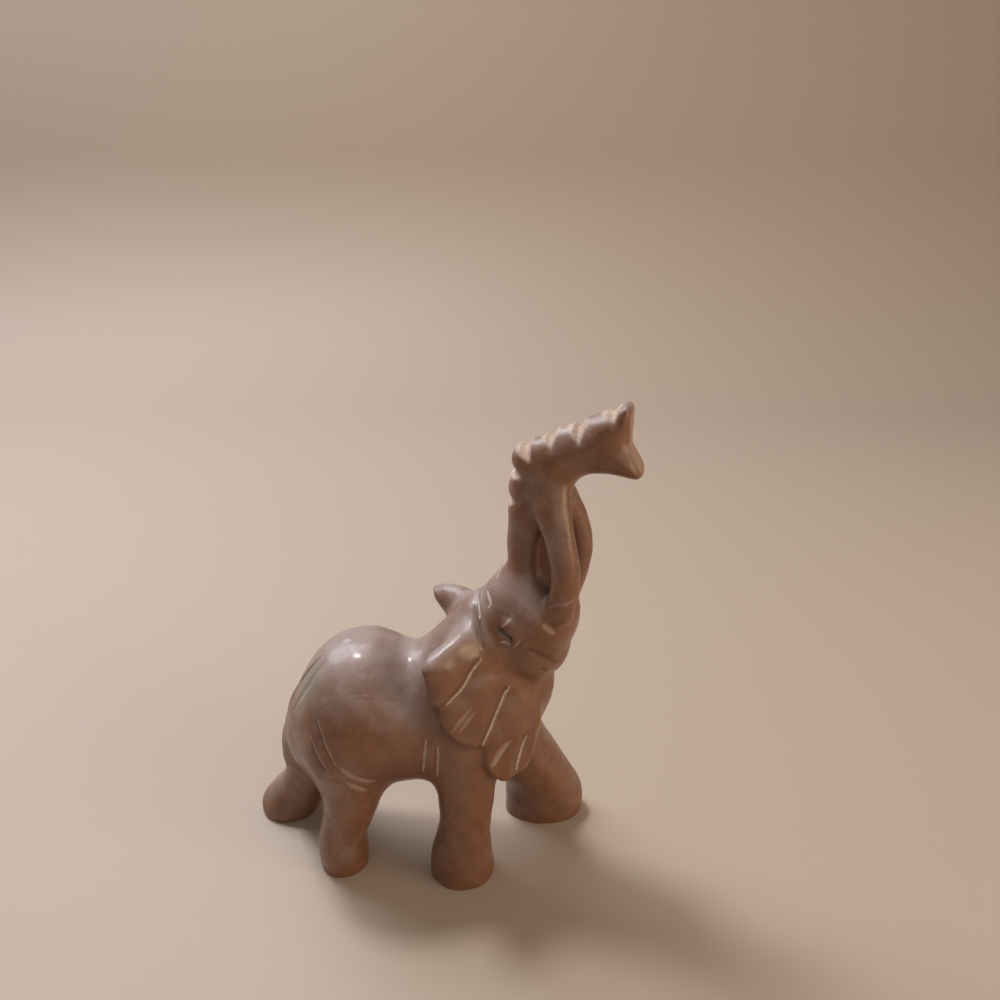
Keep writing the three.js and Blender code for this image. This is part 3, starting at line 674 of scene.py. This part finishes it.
for rows in (lambda line: line, lambda line: other_side(line, True)):
    # The dark strokes in the eye's corner and slit and along the mouth are painted shade.
    strokes.append(stroke(rows(EYE_CORNER), 0.6, 0.30, -0.5))
    strokes.append(stroke(rows(EYE_SLIT), 0.40, 0.35, -0.7))
    strokes.append(stroke(rows(EYE_LID), 0.42, 0.24, 0.6))
    strokes.append(stroke(rows(EYE_POUCH), 0.42, 0.3, 0.65))
    strokes.append(stroke(rows(EYE_OUTER), 0.4, 0.3, 0.5))
    strokes.append(stroke(rows(MOUTH), 0.9, 0.25, -0.45))
    strokes.append(stroke(rows(TUSK_RING), 0.5, 0.32, 0.22))
strokes.append(stroke(CHEEK_CHIP, 0.7, 0.22, 0.3, scoop=True))
# The dark dent below the mouth is painted shade.
strokes.append(stroke(MOUTH_DENT, 0.4, 0.25, -0.4))
strokes.append(stroke(TUSK_CRACK, 0.14, 0.04, -0.7))
press(strokes)
print("strokes:", len(strokes))

# %% The carved stone
eyeball = egg([19.5, 6.75, 48.6], [1.15, 0.7, 1.75], 20)  # in the head's own frame
LIPS_END, GAPE_Z = 34.7, 76.8  # mm: where the end of the trunk was sliced off, and its V
GAPE_SLOPE = 30.0  # degrees by which the lower lip's slice leans
WAVES = 24
rng = np.random.default_rng(7)
wave_ways = rng.normal(size=(WAVES, 3))
wave_ways /= np.linalg.norm(wave_ways, axis=1)[:, None]
wave_counts = 2 * np.pi / rng.uniform(2.6, 9.0, WAVES)  # turns to a millimetre
wave_starts = rng.uniform(0, 2 * np.pi, WAVES)


def hand_waver(points):
    """Unevenness left by hand rubbing, about a twentieth of a millimetre: the mean of many
    sine waves that run all ways."""
    phase = points @ (wave_ways * wave_counts[:, None]).T + wave_starts
    return 0.045 * np.sin(phase).sum(1) / np.sqrt(WAVES / 2)


def past_trunk_end(head):
    """How far points in the head's frame lie past the slice that ends the trunk: straight
    down over the upper lip, and leaning back over the lower one."""
    lean = np.radians(GAPE_SLOPE)
    beyond = head[:, 0] - LIPS_END
    lower = beyond * np.cos(lean) + (head[:, 2] - GAPE_Z) * np.sin(lean)
    return np.where(head[:, 2] > 70, np.minimum(beyond, lower), -9)


def carved_field(points):
    """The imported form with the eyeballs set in, the trunk's end sliced flat, all strokes cut,
    the waver of the hand, and the soles cut level. Strokes only matter close to the surface."""
    skin = stone_field(points)
    near = np.abs(skin) < 2.0
    close = points[near]
    head = head_frame(close)
    ball = eyeball(head * [1, 0, 1] + np.abs(head) * [0, 1, 0])
    fine = blend(skin[near], ball, BLEND_ROOT)
    fine = np.maximum(fine, past_trunk_end(head)) + hand_waver(close)
    for mark in strokes:
        share, size = share_of(mark, close)
        profile = share * (2 - share) if mark["scoop"] else share
        fine += mark["depth"] * size * profile
    skin[near] = fine
    return np.maximum(skin, -points[:, 2])


# %% [markdown]
# ## A skin over the distances
# The surface is where the distance is nought. Space is divided into small cells, the
# distance is measured at their corners, and every cell that the surface passes through gets
# one point. Each grid line that the surface crosses joins the four cells around it in a
# face. Measuring everywhere would be slow, so a coarse pass finds where the surface is
# first. Last, every point slides along the slope of the distance until it lies on the
# surface.

# %% Lay the skin
CELL = 0.2  # mm
TRIANGLES = 190000  # after thinning
SPACE_LOW, SPACE_HIGH = [-32, -16, -1.2], [40, 16, 85]


def in_parts(field, points, part=200000):
    """A field's value at many points, a part of them at a time to save memory."""
    return np.concatenate([field(points[k : k + part]) for k in range(0, len(points), part)])


def sampled(field, cell):
    """The distance at every grid point. A grid of four cells is measured all over; then one
    of two cells, and last of one, are measured where the surface is near, and elsewhere
    copied from the nearest point of the grid before."""
    value = None
    for step in (4, 2, 1):
        lines = [
            lo + cell * step * np.arange(int((hi - lo) / cell / 4) * 4 // step + 1)
            for lo, hi in zip(SPACE_LOW, SPACE_HIGH)
        ]
        if value is None:
            near = np.argwhere(np.ones([len(line) for line in lines], bool))
            value = np.zeros([len(line) for line in lines], np.float32)
        else:
            pick = [np.minimum((np.arange(len(line)) + 1) // 2, n - 1)
                    for line, n in zip(lines, value.shape)]
            value = value[np.ix_(*pick)]
            near = np.argwhere(np.abs(value) < 3 * step * cell)
        points = np.stack([lines[k][near[:, k]] for k in range(3)], 1)
        value[tuple(near.T)] = in_parts(field, points)
    return value


def skin_over(field, cell):
    """Points and four-cornered faces of the surface where the field is nought."""
    value = sampled(field, cell)
    inside = value < 0
    corners = [(i, j, k) for i in (0, 1) for j in (0, 1) for k in (0, 1)]
    shape = np.array(inside.shape) - 1

    def corner(array, c):
        return array[tuple(slice(c[k], shape[k] + c[k]) for k in range(3))]

    count = sum(corner(inside, c).astype(np.int8) for c in corners)
    crossed = (count > 0) & (count < 8)
    cells = np.argwhere(crossed)
    number = np.full(crossed.shape, -1, np.int64)
    number[crossed] = np.arange(len(cells))
    total = np.zeros((len(cells), 3))
    crossings = np.zeros(len(cells))
    for a in corners:
        for axis in range(3):
            if a[axis]:
                continue
            step = np.eye(3, dtype=int)[axis]
            va = value[tuple((cells + a).T)]
            vb = value[tuple((cells + a + step).T)]
            crosses = (va < 0) != (vb < 0)
            t = np.where(crosses, va / np.where(crosses, va - vb, 1), 0)
            total += np.where(crosses[:, None], np.array(a) + t[:, None] * step, 0)
            crossings += crosses
    points = (cells + total / crossings[:, None]) * cell + SPACE_LOW
    faces = []
    for axis in range(3):
        step = np.eye(3, dtype=int)[axis]
        u, v = np.eye(3, dtype=int)[[(axis + 1) % 3, (axis + 2) % 3]]
        ends = tuple(slice(0, n - s) for n, s in zip(inside.shape, step))
        starts = tuple(slice(s, n) for n, s in zip(inside.shape, step))
        edges = np.argwhere(inside[ends] != inside[starts])
        edges = edges[(edges @ u > 0) & (edges @ v > 0)]
        edges = edges[(edges @ u < shape @ u) & (edges @ v < shape @ v)]
        ring = [number[tuple((edges - p * u - q * v).T)] for p, q in ((1, 1), (0, 1), (0, 0), (1, 0))]
        ring = np.stack(ring, 1)
        goes_out = inside[tuple(edges.T)]
        faces.append(np.where(goes_out[:, None], ring, ring[:, ::-1]))
    return points, np.vstack(faces)


# %% Make the mesh
def mesh_object(name, points, faces):
    """A smooth-shaded mesh object at the origin, from arrays of points in millimetres."""
    mesh = bpy.data.meshes.new(name)
    mesh.from_pydata(points * MM, [], faces)
    mesh.polygons.foreach_set("use_smooth", np.ones(len(faces), bool))
    obj = bpy.data.objects.new(name, mesh)
    bpy.context.scene.collection.objects.link(obj)
    return obj


import time
t0 = time.time()
points, faces = skin_over(carved_field, CELL)
print("skin", len(points), len(faces), round(time.time() - t0, 1))
points = in_parts(lambda part: settled(carved_field, part, 1, 0.3), points, 100000)
print("settled", round(time.time() - t0, 1), points.min(0), points.max(0))
shift = (cad_low + cad_high) / 2 / MM - (points.min(0) + points.max(0)) / 2
shift[2] = 0
print("shift to the packed frame, mm:", shift.round(3))
laid = mesh_object("skin_as_laid", points, faces)
thinner = laid.modifiers.new("thin the flats", "DECIMATE")
thinner.ratio = TRIANGLES / (2 * len(faces))
thin = bpy.data.meshes.new_from_object(laid.evaluated_get(bpy.context.evaluated_depsgraph_get()))
bpy.data.objects.remove(laid)


def points_of(mesh):
    """The mesh's points as an array of rows, in the working frame's millimetres."""
    flat = np.empty(3 * len(mesh.vertices), np.float32)
    mesh.vertices.foreach_get("co", flat)
    return flat.reshape(-1, 3).astype(float) / MM


skin_points = points_of(thin)
thin.vertices.foreach_set("co", ((skin_points + shift) * MM).astype(np.float32).ravel())
thin.update()
elephant = bpy.data.objects.new("soapstone_elephant", thin)
bpy.context.scene.collection.objects.link(elephant)
print("thinned", len(thin.vertices), len(thin.polygons), round(time.time() - t0, 1))
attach(elephant, "root")
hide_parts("elephant")

# %% Masks
def smooth_share(value, low, high):
    """0 below low, 1 above high, and an S-shaped ramp between."""
    t = np.clip((value - low) / (high - low), 0, 1)
    return t * t * (3 - 2 * t)


outward = np.empty(3 * len(skin_points), np.float32)
thin.vertices.foreach_get("normal", outward)
outward = outward.reshape(-1, 3).astype(float)


def closed_in(reach):
    """How hollow the form is at each point: walk out from the skin by reach, and see how
    much of that distance a neighbouring surface takes away."""
    out = skin_points + reach * outward
    return np.clip(1 - in_parts(stone_field, out) / reach, 0, 1)


SCRAPE_HALF, SCRAPE_REACH = 1.9, 2.4  # mm: the pale skin around a notch, along and below
# Pale marks are cut stone. Dark marks are painted shade, except the dirt in the scratches and the
# crack.
fresh, dirt_and_shade = np.zeros(len(skin_points)), np.zeros(len(skin_points))
for mark in strokes:
    share, size = share_of(mark, skin_points)
    strength = abs(mark["fresh"]) * smooth_share(share, 0.1, 0.75)
    if mark["fresh"] > 0:
        fresh = np.maximum(fresh, strength)
    else:
        dirt_and_shade = np.maximum(dirt_and_shade, strength)
in_head = head_frame(skin_points)
scraped = np.zeros(len(skin_points))
for (x, z, climb), size in zip(NOTCHES, NOTCH_SHARES):
    ahead = np.array([np.cos(np.radians(climb)), 0, np.sin(np.radians(climb))])
    off = in_head - [x, 0, z]
    below = -(off @ [-ahead[2], 0, ahead[0]])
    share = 1.05 - np.abs(off @ ahead) / SCRAPE_HALF - np.abs(below) / (SCRAPE_REACH * size)
    scraped = np.maximum(scraped, smooth_share(share, 0.0, 0.3))
sliced = smooth_share(past_trunk_end(in_head), -0.25, -0.05)
fresh = np.max([fresh, 0.85 * scraped, 0.4 * sliced], axis=0)
# Both measures are used below to paint shade into the colour: redder in hollows, near black in tight
# creases.
hollow_small, hollow_large = closed_in(1.0), closed_in(4.0)


def blob(centre, half):
    """Soft patch: 1 at the centre, falling to 0 at the half lengths."""
    return smooth_share(1 - np.linalg.norm((skin_points - centre) / half, axis=1), 0, 0.8)


ochre = np.maximum(blob([14.5, -6.0, 48.0], [3.0, 3.0, 3.4]), blob([8.5, -11, 38.5], [4, 3, 5]))
green = blob([-14.5, -4.5, 36.0], [6.5, 5.0, 7.5])
# Painted shade: darker and redder under the belly and under the jaw.
shade_below = np.maximum(blob([-1.0, -9.0, 24.0], [12.0, 8.0, 6.0]), blob([23, 0, 43], [5, 9, 5]))
# Paler grey mauve patches: part mottling of the stone, part painted sheen and highlight, as on the
# nape and the hind foot.
mauve_and_sheen = np.max([
    blob([0.9, -8.0, 37.4], [5, 5, 8]),  # behind the ear
    blob([-9.5, -9.2, 5.2], [2.4, 2.4, 2.8]),  # on the hind foot
    blob([18.8, -7.5, 51.5], [4.5, 3.0, 4.5]),  # on the cheek and brow
    blob([21.5, -4.0, 70.5], [4.0, 3.0, 4.0]),  # on the bend of the trunk
    blob([24.2, -7.5, 63.0], [2.5, 3.0, 6.0]),  # on the tusk
    blob([13.5, -2.0, 51.5], [4.0, 5.0, 4.5]),  # on the nape
], axis=0)
dull = blob([5.5, -6.0, 43.5], [4.5, 6.0, 3.5])  # between the shoulders, little polished
for name, values in {
    "fresh": fresh, "dull": dull, "dirt_and_shade": dirt_and_shade, "hollow_small": hollow_small,
    "hollow_large": hollow_large, "ochre": ochre, "green": green, "shade_below": shade_below, "mauve_and_sheen": mauve_and_sheen,
    "upward": outward[:, 2],
}.items():
    attribute = thin.attributes.new(name, "FLOAT", "POINT")
    attribute.data.foreach_set("value", values.astype(np.float32))
    print(name, "mean", round(float(values.mean()), 3))
print("masks", round(time.time() - t0, 1))

# %% [markdown]
# ## The look of waxed soapstone
# Soapstone is talc and a few darker minerals. Waxed, it is a warm brown with random drifts
# of red and grey mauve. Shade is painted in as well: darker and redder under the belly, under
# the jaw and in hollows. The faces that look up, which hands have polished, are painted paler
# and greyer, part fine dust in the wax, part painted sheen. A picture wrapped around the stone
# would show seams, so all of its pattern is worked out from the place of each point in the
# stone. Each group of nodes below makes one effect, and gives only colours and values; the
# shader itself stays in the material.

# %% Helpers for node groups
def add(tree, kind, settings={}, **inputs):
    """Add a node of one kind. Settings are its own choices; each input is a value, or the
    output of another node to link. A name like input_2 means the socket with that number."""
    made = tree.nodes.new(kind)
    for name, value in settings.items():
        setattr(made, name, value)
    for name, value in inputs.items():
        socket = made.inputs[int(name[6:]) if name.startswith("input_") else name]
        if isinstance(value, bpy.types.NodeSocket):
            tree.links.new(value, socket)
        else:
            socket.default_value = value
    return made


def new_group(name, inputs, outputs):
    """An empty node group, with its input and output nodes. Kinds: F value, V vector, C
    colour, given as a dictionary from socket name to kind."""
    kinds = {"F": "NodeSocketFloat", "V": "NodeSocketVector", "C": "NodeSocketColor"}
    group = bpy.data.node_groups.new(name, "ShaderNodeTree")
    for way, sockets in (("INPUT", inputs), ("OUTPUT", outputs)):
        for socket, kind in sockets.items():
            group.interface.new_socket(socket, in_out=way, socket_type=kinds[kind])
    return group, group.nodes.new("NodeGroupInput"), group.nodes.new("NodeGroupOutput")


def noise(tree, place, scale, detail=3.0, rough=0.55, twist=0.0):
    """Noise about 0.5, with so many waves to a millimetre."""
    made = add(tree, "ShaderNodeTexNoise", Vector=place, Scale=scale, Detail=detail,
               Roughness=rough, Distortion=twist)
    return made.outputs[0]


def ramp(tree, value, low, high, to_low=0.0, to_high=1.0):
    """Value from low to high stretched to a new range, and held at its ends."""
    made = add(tree, "ShaderNodeMapRange", {"interpolation_type": "SMOOTHSTEP"}, input_0=value,
               input_1=low, input_2=high, input_3=to_low, input_4=to_high)
    return made.outputs[0]


def sums(tree, operation, a, b):
    """Arithmetic on two values, held between 0 and 1."""
    made = add(tree, "ShaderNodeMath", {"operation": operation, "use_clamp": True},
               input_0=a, input_1=b)
    return made.outputs[0]


def mix(tree, share, a, b):
    """Colour a where share is 0 and colour b where it is 1."""
    made = add(tree, "ShaderNodeMix", {"data_type": "RGBA"}, Factor=share)
    for socket, colour in ((made.inputs[6], a), (made.inputs[7], b)):
        if isinstance(colour, bpy.types.NodeSocket):
            tree.links.new(colour, socket)
        else:
            socket.default_value = (*colour, 1)
    return made.outputs[2]


# %% Group: the pattern inside the stone
pattern, given, result = new_group(
    "stone_pattern", {"Place": "V"},
    {"Cloud": "F", "Patch": "F", "Grain": "F", "Specks": "F", "Veins": "F"},
)
place = given.outputs["Place"]
cloud = ramp(pattern, noise(pattern, place, 0.11, 3, 0.5, 0.8), 0.36, 0.64)
patch = ramp(pattern, noise(pattern, place, 0.33, 4, 0.6, 0.5), 0.36, 0.66)
grain = noise(pattern, place, 1.7, 6, 0.68)
specks = ramp(pattern, noise(pattern, place, 2.3, 2, 0.5), 0.66, 0.74)
away_from_vein = add(pattern, "ShaderNodeMath", {"operation": "ABSOLUTE"},
                     input_0=add(pattern, "ShaderNodeMath", {"operation": "SUBTRACT"},
                                 input_0=noise(pattern, place, 0.16, 5, 0.6, 1.2),
                                 input_1=0.5).outputs[0]).outputs[0]
veins = sums(pattern, "MULTIPLY", ramp(pattern, away_from_vein, 0.0, 0.008, 1.0, 0.0),
             ramp(pattern, noise(pattern, place, 0.3, 2), 0.5, 0.62))
for name, value in {"Cloud": cloud, "Patch": patch, "Grain": grain, "Specks": specks,
                    "Veins": veins}.items():
    pattern.links.new(value, result.inputs[name])

# %% [markdown]
# Wax keeps the brown skin dark and warm. Where the knife went through it the stone is pale
# and dry. Shade is painted into the colour: redder in hollows and under the belly and jaw,
# near black in tight creases and beside cuts. The faces that look up are painted paler and
# greyer, part dust in the wax and part sheen.

# %% Group: colour of the waxed and the cut stone, with painted shade and sheen
WAXED = (0.190, 0.076, 0.029)
MAUVE = (0.235, 0.160, 0.135)
RED = (0.120, 0.038, 0.017)
OCHRE = (0.175, 0.078, 0.026)
GREENISH = (0.300, 0.290, 0.235)
DARK = (0.040, 0.016, 0.009)
# Colour of dust in the wax and of painted sheen on the faces that look up.
BLOOM_AND_SHEEN = (0.370, 0.300, 0.285)
FRESH = (0.640, 0.490, 0.400)

colouring, given, result = new_group(
    "stone_colouring",
    {"Cloud": "F", "Patch": "F", "Grain": "F", "Specks": "F", "Veins": "F", "Fresh": "F",
     "Dirt": "F", "Crease": "F", "Hollow": "F", "Ochre": "F", "Green": "F", "Red": "F",
     "Mauve": "F", "Upward": "F"},
    {"Colour": "C", "Dryness": "F"},
)
take = given.outputs
colour = mix(colouring, sums(colouring, "MULTIPLY", take["Cloud"], 0.22), WAXED, MAUVE)
# Mauve patches: part mottling, part painted sheen.
greyer = sums(colouring, "MULTIPLY", take["Mauve"], ramp(colouring, take["Cloud"], 0, 1, 0.6, 1.0))
colour = mix(colouring, greyer, colour, MAUVE)
reddish = sums(colouring, "MULTIPLY", ramp(colouring, take["Patch"], 0.2, 0.9), 0.35)
colour = mix(colouring, reddish, colour, RED)
# Painted shade under the belly and the jaw.
colour = mix(colouring, sums(colouring, "MULTIPLY", take["Red"], 0.65), colour, RED)
colour = mix(colouring, sums(colouring, "MULTIPLY", take["Ochre"], 0.6), colour, OCHRE)
# Faces that look up are painted paler and greyer: part dust in the wax, part painted sheen from the
# light above.
lit = ramp(colouring, take["Upward"], 0.2, 1.0)
dust_and_sheen = sums(colouring, "MULTIPLY", lit, ramp(colouring, take["Cloud"], 0.0, 1.0, 0.5, 0.85))
colour = mix(colouring, dust_and_sheen, colour, BLOOM_AND_SHEEN)
colour = mix(colouring, sums(colouring, "MULTIPLY", take["Green"], 0.65), colour, GREENISH)
colour = mix(colouring, ramp(colouring, take["Grain"], 0.5, 0.75, 0.0, 0.25), colour, MAUVE)
colour = mix(colouring, ramp(colouring, take["Grain"], 0.5, 0.25, 0.0, 0.35), colour, RED)
colour = mix(colouring, sums(colouring, "MULTIPLY", take["Specks"], 0.35), colour, DARK)
colour = mix(colouring, sums(colouring, "MULTIPLY", take["Veins"], 0.35), colour, DARK)
# Painted shade: redder in hollows, near black in tight creases.
shade = ramp(colouring, take["Hollow"], 0.25, 0.95, 0.0, 0.55)
colour = mix(colouring, shade, colour, RED)
colour = mix(colouring, ramp(colouring, take["Crease"], 0.3, 0.9, 0.0, 0.7), colour, DARK)
# Dark strokes: painted shade, and dirt in the scratches and the crack.
colour = mix(colouring, sums(colouring, "MULTIPLY", take["Dirt"], 0.85), colour, DARK)
broken = ramp(colouring, take["Grain"], 0.3, 0.6, 0.55, 1.0)
cut = sums(colouring, "MULTIPLY", take["Fresh"], broken)
colour = mix(colouring, cut, colour, FRESH)
colouring.links.new(colour, result.inputs["Colour"])
colouring.links.new(cut, result.inputs["Dryness"])

# %% [markdown]
# The stone was rubbed down with fine wet paper, so under the wax lie hair-fine scratches in
# a few directions, and the wax itself is uneven: glossy where hands hold the back, dull in
# the folds.

# %% Group: gloss and fine relief
finish, given, result = new_group(
    "rubbed_finish", {"Place": "V", "Patch": "F", "Grain": "F", "Specks": "F", "Dryness": "F",
                      "Crease": "F", "Dull": "F"},
    {"Roughness": "F", "Wax": "F", "Height": "F"},
)
take = given.outputs
scratches = None
for turn, stretch in (((0.3, 0.9, 0.2), (0.25, 6.0, 6.0)), ((1.2, -0.5, 0.8), (0.3, 7.0, 7.0))):
    turned = add(finish, "ShaderNodeMapping", input_0=take["Place"], Rotation=turn,
                 Scale=stretch).outputs[0]
    hair = ramp(finish, noise(finish, turned, 1.0, 2, 0.5), 0.62, 0.74)
    scratches = hair if scratches is None else sums(finish, "MAXIMUM", scratches, hair)
rough = ramp(finish, take["Patch"], 0.0, 1.0, 0.42, 0.54)
rough = sums(finish, "ADD", rough, ramp(finish, take["Grain"], 0.3, 0.7, -0.05, 0.06))
rough = sums(finish, "ADD", rough, sums(finish, "MULTIPLY", scratches, 0.06))
rough = sums(finish, "ADD", rough, sums(finish, "MULTIPLY", take["Dryness"], 0.3))
rough = sums(finish, "ADD", rough, sums(finish, "MULTIPLY", take["Dull"], 0.15))
worn = sums(finish, "MAXIMUM", sums(finish, "MAXIMUM", take["Dryness"], take["Crease"]), take["Dull"])
finish.links.new(rough, result.inputs["Roughness"])
finish.links.new(ramp(finish, worn, 0.1, 0.8, 0.34, 0.02), result.inputs["Wax"])
height = sums(finish, "SUBTRACT", sums(finish, "MULTIPLY", take["Grain"], 0.5),
              sums(finish, "MULTIPLY", scratches, 0.16))
height = sums(finish, "SUBTRACT", height, sums(finish, "MULTIPLY", take["Specks"], 0.1))
finish.links.new(height, result.inputs["Height"])

# %% Soapstone
stone = bpy.data.materials.new("soapstone")
stone.use_nodes = True
tree = stone.node_tree
bsdf = tree.nodes["Principled BSDF"]
object_place = add(tree, "ShaderNodeTexCoord").outputs["Object"]
in_mm = add(tree, "ShaderNodeVectorMath", {"operation": "SCALE"}, input_0=object_place,
            Scale=1 / MM).outputs[0]


def mask(name):
    """One of the masks kept on the mesh's points."""
    return add(tree, "ShaderNodeAttribute", {"attribute_name": name}).outputs["Fac"]


def use(group, **inputs):
    """A node that runs one of the groups above."""
    made = tree.nodes.new("ShaderNodeGroup")
    made.node_tree = group
    for name, value in inputs.items():
        tree.links.new(value, made.inputs[name])
    return made.outputs


inner = use(pattern, Place=in_mm)
crease = mask("hollow_small")
seen = use(colouring, **{name: inner[name] for name in ("Cloud", "Patch", "Grain", "Specks", "Veins")},
           Fresh=mask("fresh"), Dirt=mask("dirt_and_shade"), Crease=crease, Hollow=mask("hollow_large"),
           Ochre=mask("ochre"), Green=mask("green"), Red=mask("shade_below"),
           Mauve=mask("mauve_and_sheen"), Upward=mask("upward"))
felt = use(finish, Place=in_mm, Patch=inner["Patch"], Grain=inner["Grain"],
           Specks=inner["Specks"], Dryness=seen["Dryness"], Crease=crease,
           Dull=mask("dull"))
bump = add(tree, "ShaderNodeBump", Height=felt["Height"], Strength=0.5, Distance=0.00006)
tree.links.new(seen["Colour"], bsdf.inputs["Base Color"])
tree.links.new(felt["Roughness"], bsdf.inputs["Roughness"])
tree.links.new(felt["Wax"], bsdf.inputs["Coat Weight"])
tree.links.new(bump.outputs[0], bsdf.inputs["Normal"])
bsdf.inputs["IOR"].default_value = 1.55
bsdf.inputs["Coat Roughness"].default_value = 0.16
bsdf.inputs["Coat IOR"].default_value = 1.5
bsdf.inputs["Subsurface Weight"].default_value = 0.08
bsdf.inputs["Subsurface Radius"].default_value = (1.0, 0.5, 0.3)
bsdf.inputs["Subsurface Scale"].default_value = 0.0008
elephant.data.materials.append(stone)
print("soapstone:", len(tree.nodes), "nodes and three groups")

# %% [markdown]
# ## Camera, floor and lights
# The camera stands a hand's breadth above the trunk and looks down on the elephant's right
# side, so that back, ears and the space between the legs all show.

# %% Camera
EYE = np.array([15.8, -107.6, 112.0]) + shift
LOOK_DOWN = 22.97  # degrees
FRAME_WIDTH, FOCAL_LENGTH = 36.0, 28.224  # mm
camera_data = bpy.data.cameras.new("camera")
camera_data.sensor_width = FRAME_WIDTH
camera_data.lens = FOCAL_LENGTH
camera_data.clip_start = 0.01
camera = bpy.data.objects.new("camera", camera_data)
camera.location = Vector(EYE * MM)
camera.rotation_euler = Euler((np.radians(90 - LOOK_DOWN), 0, 0))
bpy.context.scene.collection.objects.link(camera)
bpy.context.scene.camera = camera

# %% [markdown]
# A sheet of warm pale paper lies under the stone and curves up behind it, so that there is
# no edge to see and the light that it throws back into the shadows stays warm.

# %% Floor
def plain(name, colour, rough):
    """A material of one plain colour."""
    material = bpy.data.materials.new(name)
    material.use_nodes = True
    shader = material.node_tree.nodes["Principled BSDF"]
    shader.inputs["Base Color"].default_value = (*colour, 1)
    shader.inputs["Roughness"].default_value = rough
    return material


FLOOR_FRONT, FLOOR_BACK, FLOOR_HALF, FLOOR_TOP, BEND = -900, 260, 900, 900, 120  # mm
turn = np.radians(np.linspace(0, 90, 13))[1:]
sweep_profile = [(FLOOR_FRONT, 0), (FLOOR_BACK, 0)]
sweep_profile += [(FLOOR_BACK + BEND * np.sin(a), BEND * (1 - np.cos(a))) for a in turn]
sweep_profile.append((FLOOR_BACK + BEND, FLOOR_TOP))
sweep_points = np.array([[x, y, z] for y, z in sweep_profile for x in (-FLOOR_HALF, FLOOR_HALF)])
sweep_faces = [(2 * k, 2 * k + 1, 2 * k + 3, 2 * k + 2) for k in range(len(sweep_profile) - 1)]
sweep = mesh_object("paper_sweep", sweep_points.astype(float), sweep_faces)
sweep.data.materials.append(plain("pale_paper", (0.46, 0.385, 0.315), 0.6))
sweep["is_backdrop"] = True

# %% [markdown]
# A small lamp high on the left, a little behind, puts the one bright spot on the rump and
# throws the shadow to the right. A wide cool panel behind and above is what the polished
# back mirrors as a mauve sheen. A weak warm panel low on the right lifts the undersides.

# %% Lights
def soft_light(name, place, aim, size, watts, colour=(1, 1, 1)):
    """A round panel of light at one place, turned to face another, in millimetres."""
    data = bpy.data.lights.new(name, "AREA")
    data.shape = "DISK"
    data.size = size * MM
    data.energy = watts
    data.color = colour
    panel = bpy.data.objects.new(name, data)
    panel.location = Vector(place) * MM
    way = Vector(aim) - Vector(place)
    panel.rotation_euler = way.to_track_quat("-Z", "Y").to_euler()
    bpy.context.scene.collection.objects.link(panel)


soft_light("key", (-120, 121, 460), (0, 0, 30), 80, 0.9, (1, 0.97, 0.93))
soft_light("sheen", (-260, 360, 400), (0, 0, 30), 560, 4.2, (0.88, 0.9, 1))
soft_light("front", (140, -420, 240), (0, 0, 40), 420, 0.2, (1, 0.97, 0.94))
soft_light("warm", (380, -180, 150), (0, 0, 30), 260, 0.75, (1, 0.7, 0.45))
world = bpy.data.worlds.new("studio")
world.use_nodes = True
world.node_tree.nodes["Background"].inputs[0].default_value = (0.68, 0.58, 0.49, 1)
world.node_tree.nodes["Background"].inputs[1].default_value = 0.42
bpy.context.scene.world = world
bpy.context.scene.view_settings.view_transform = "Standard"
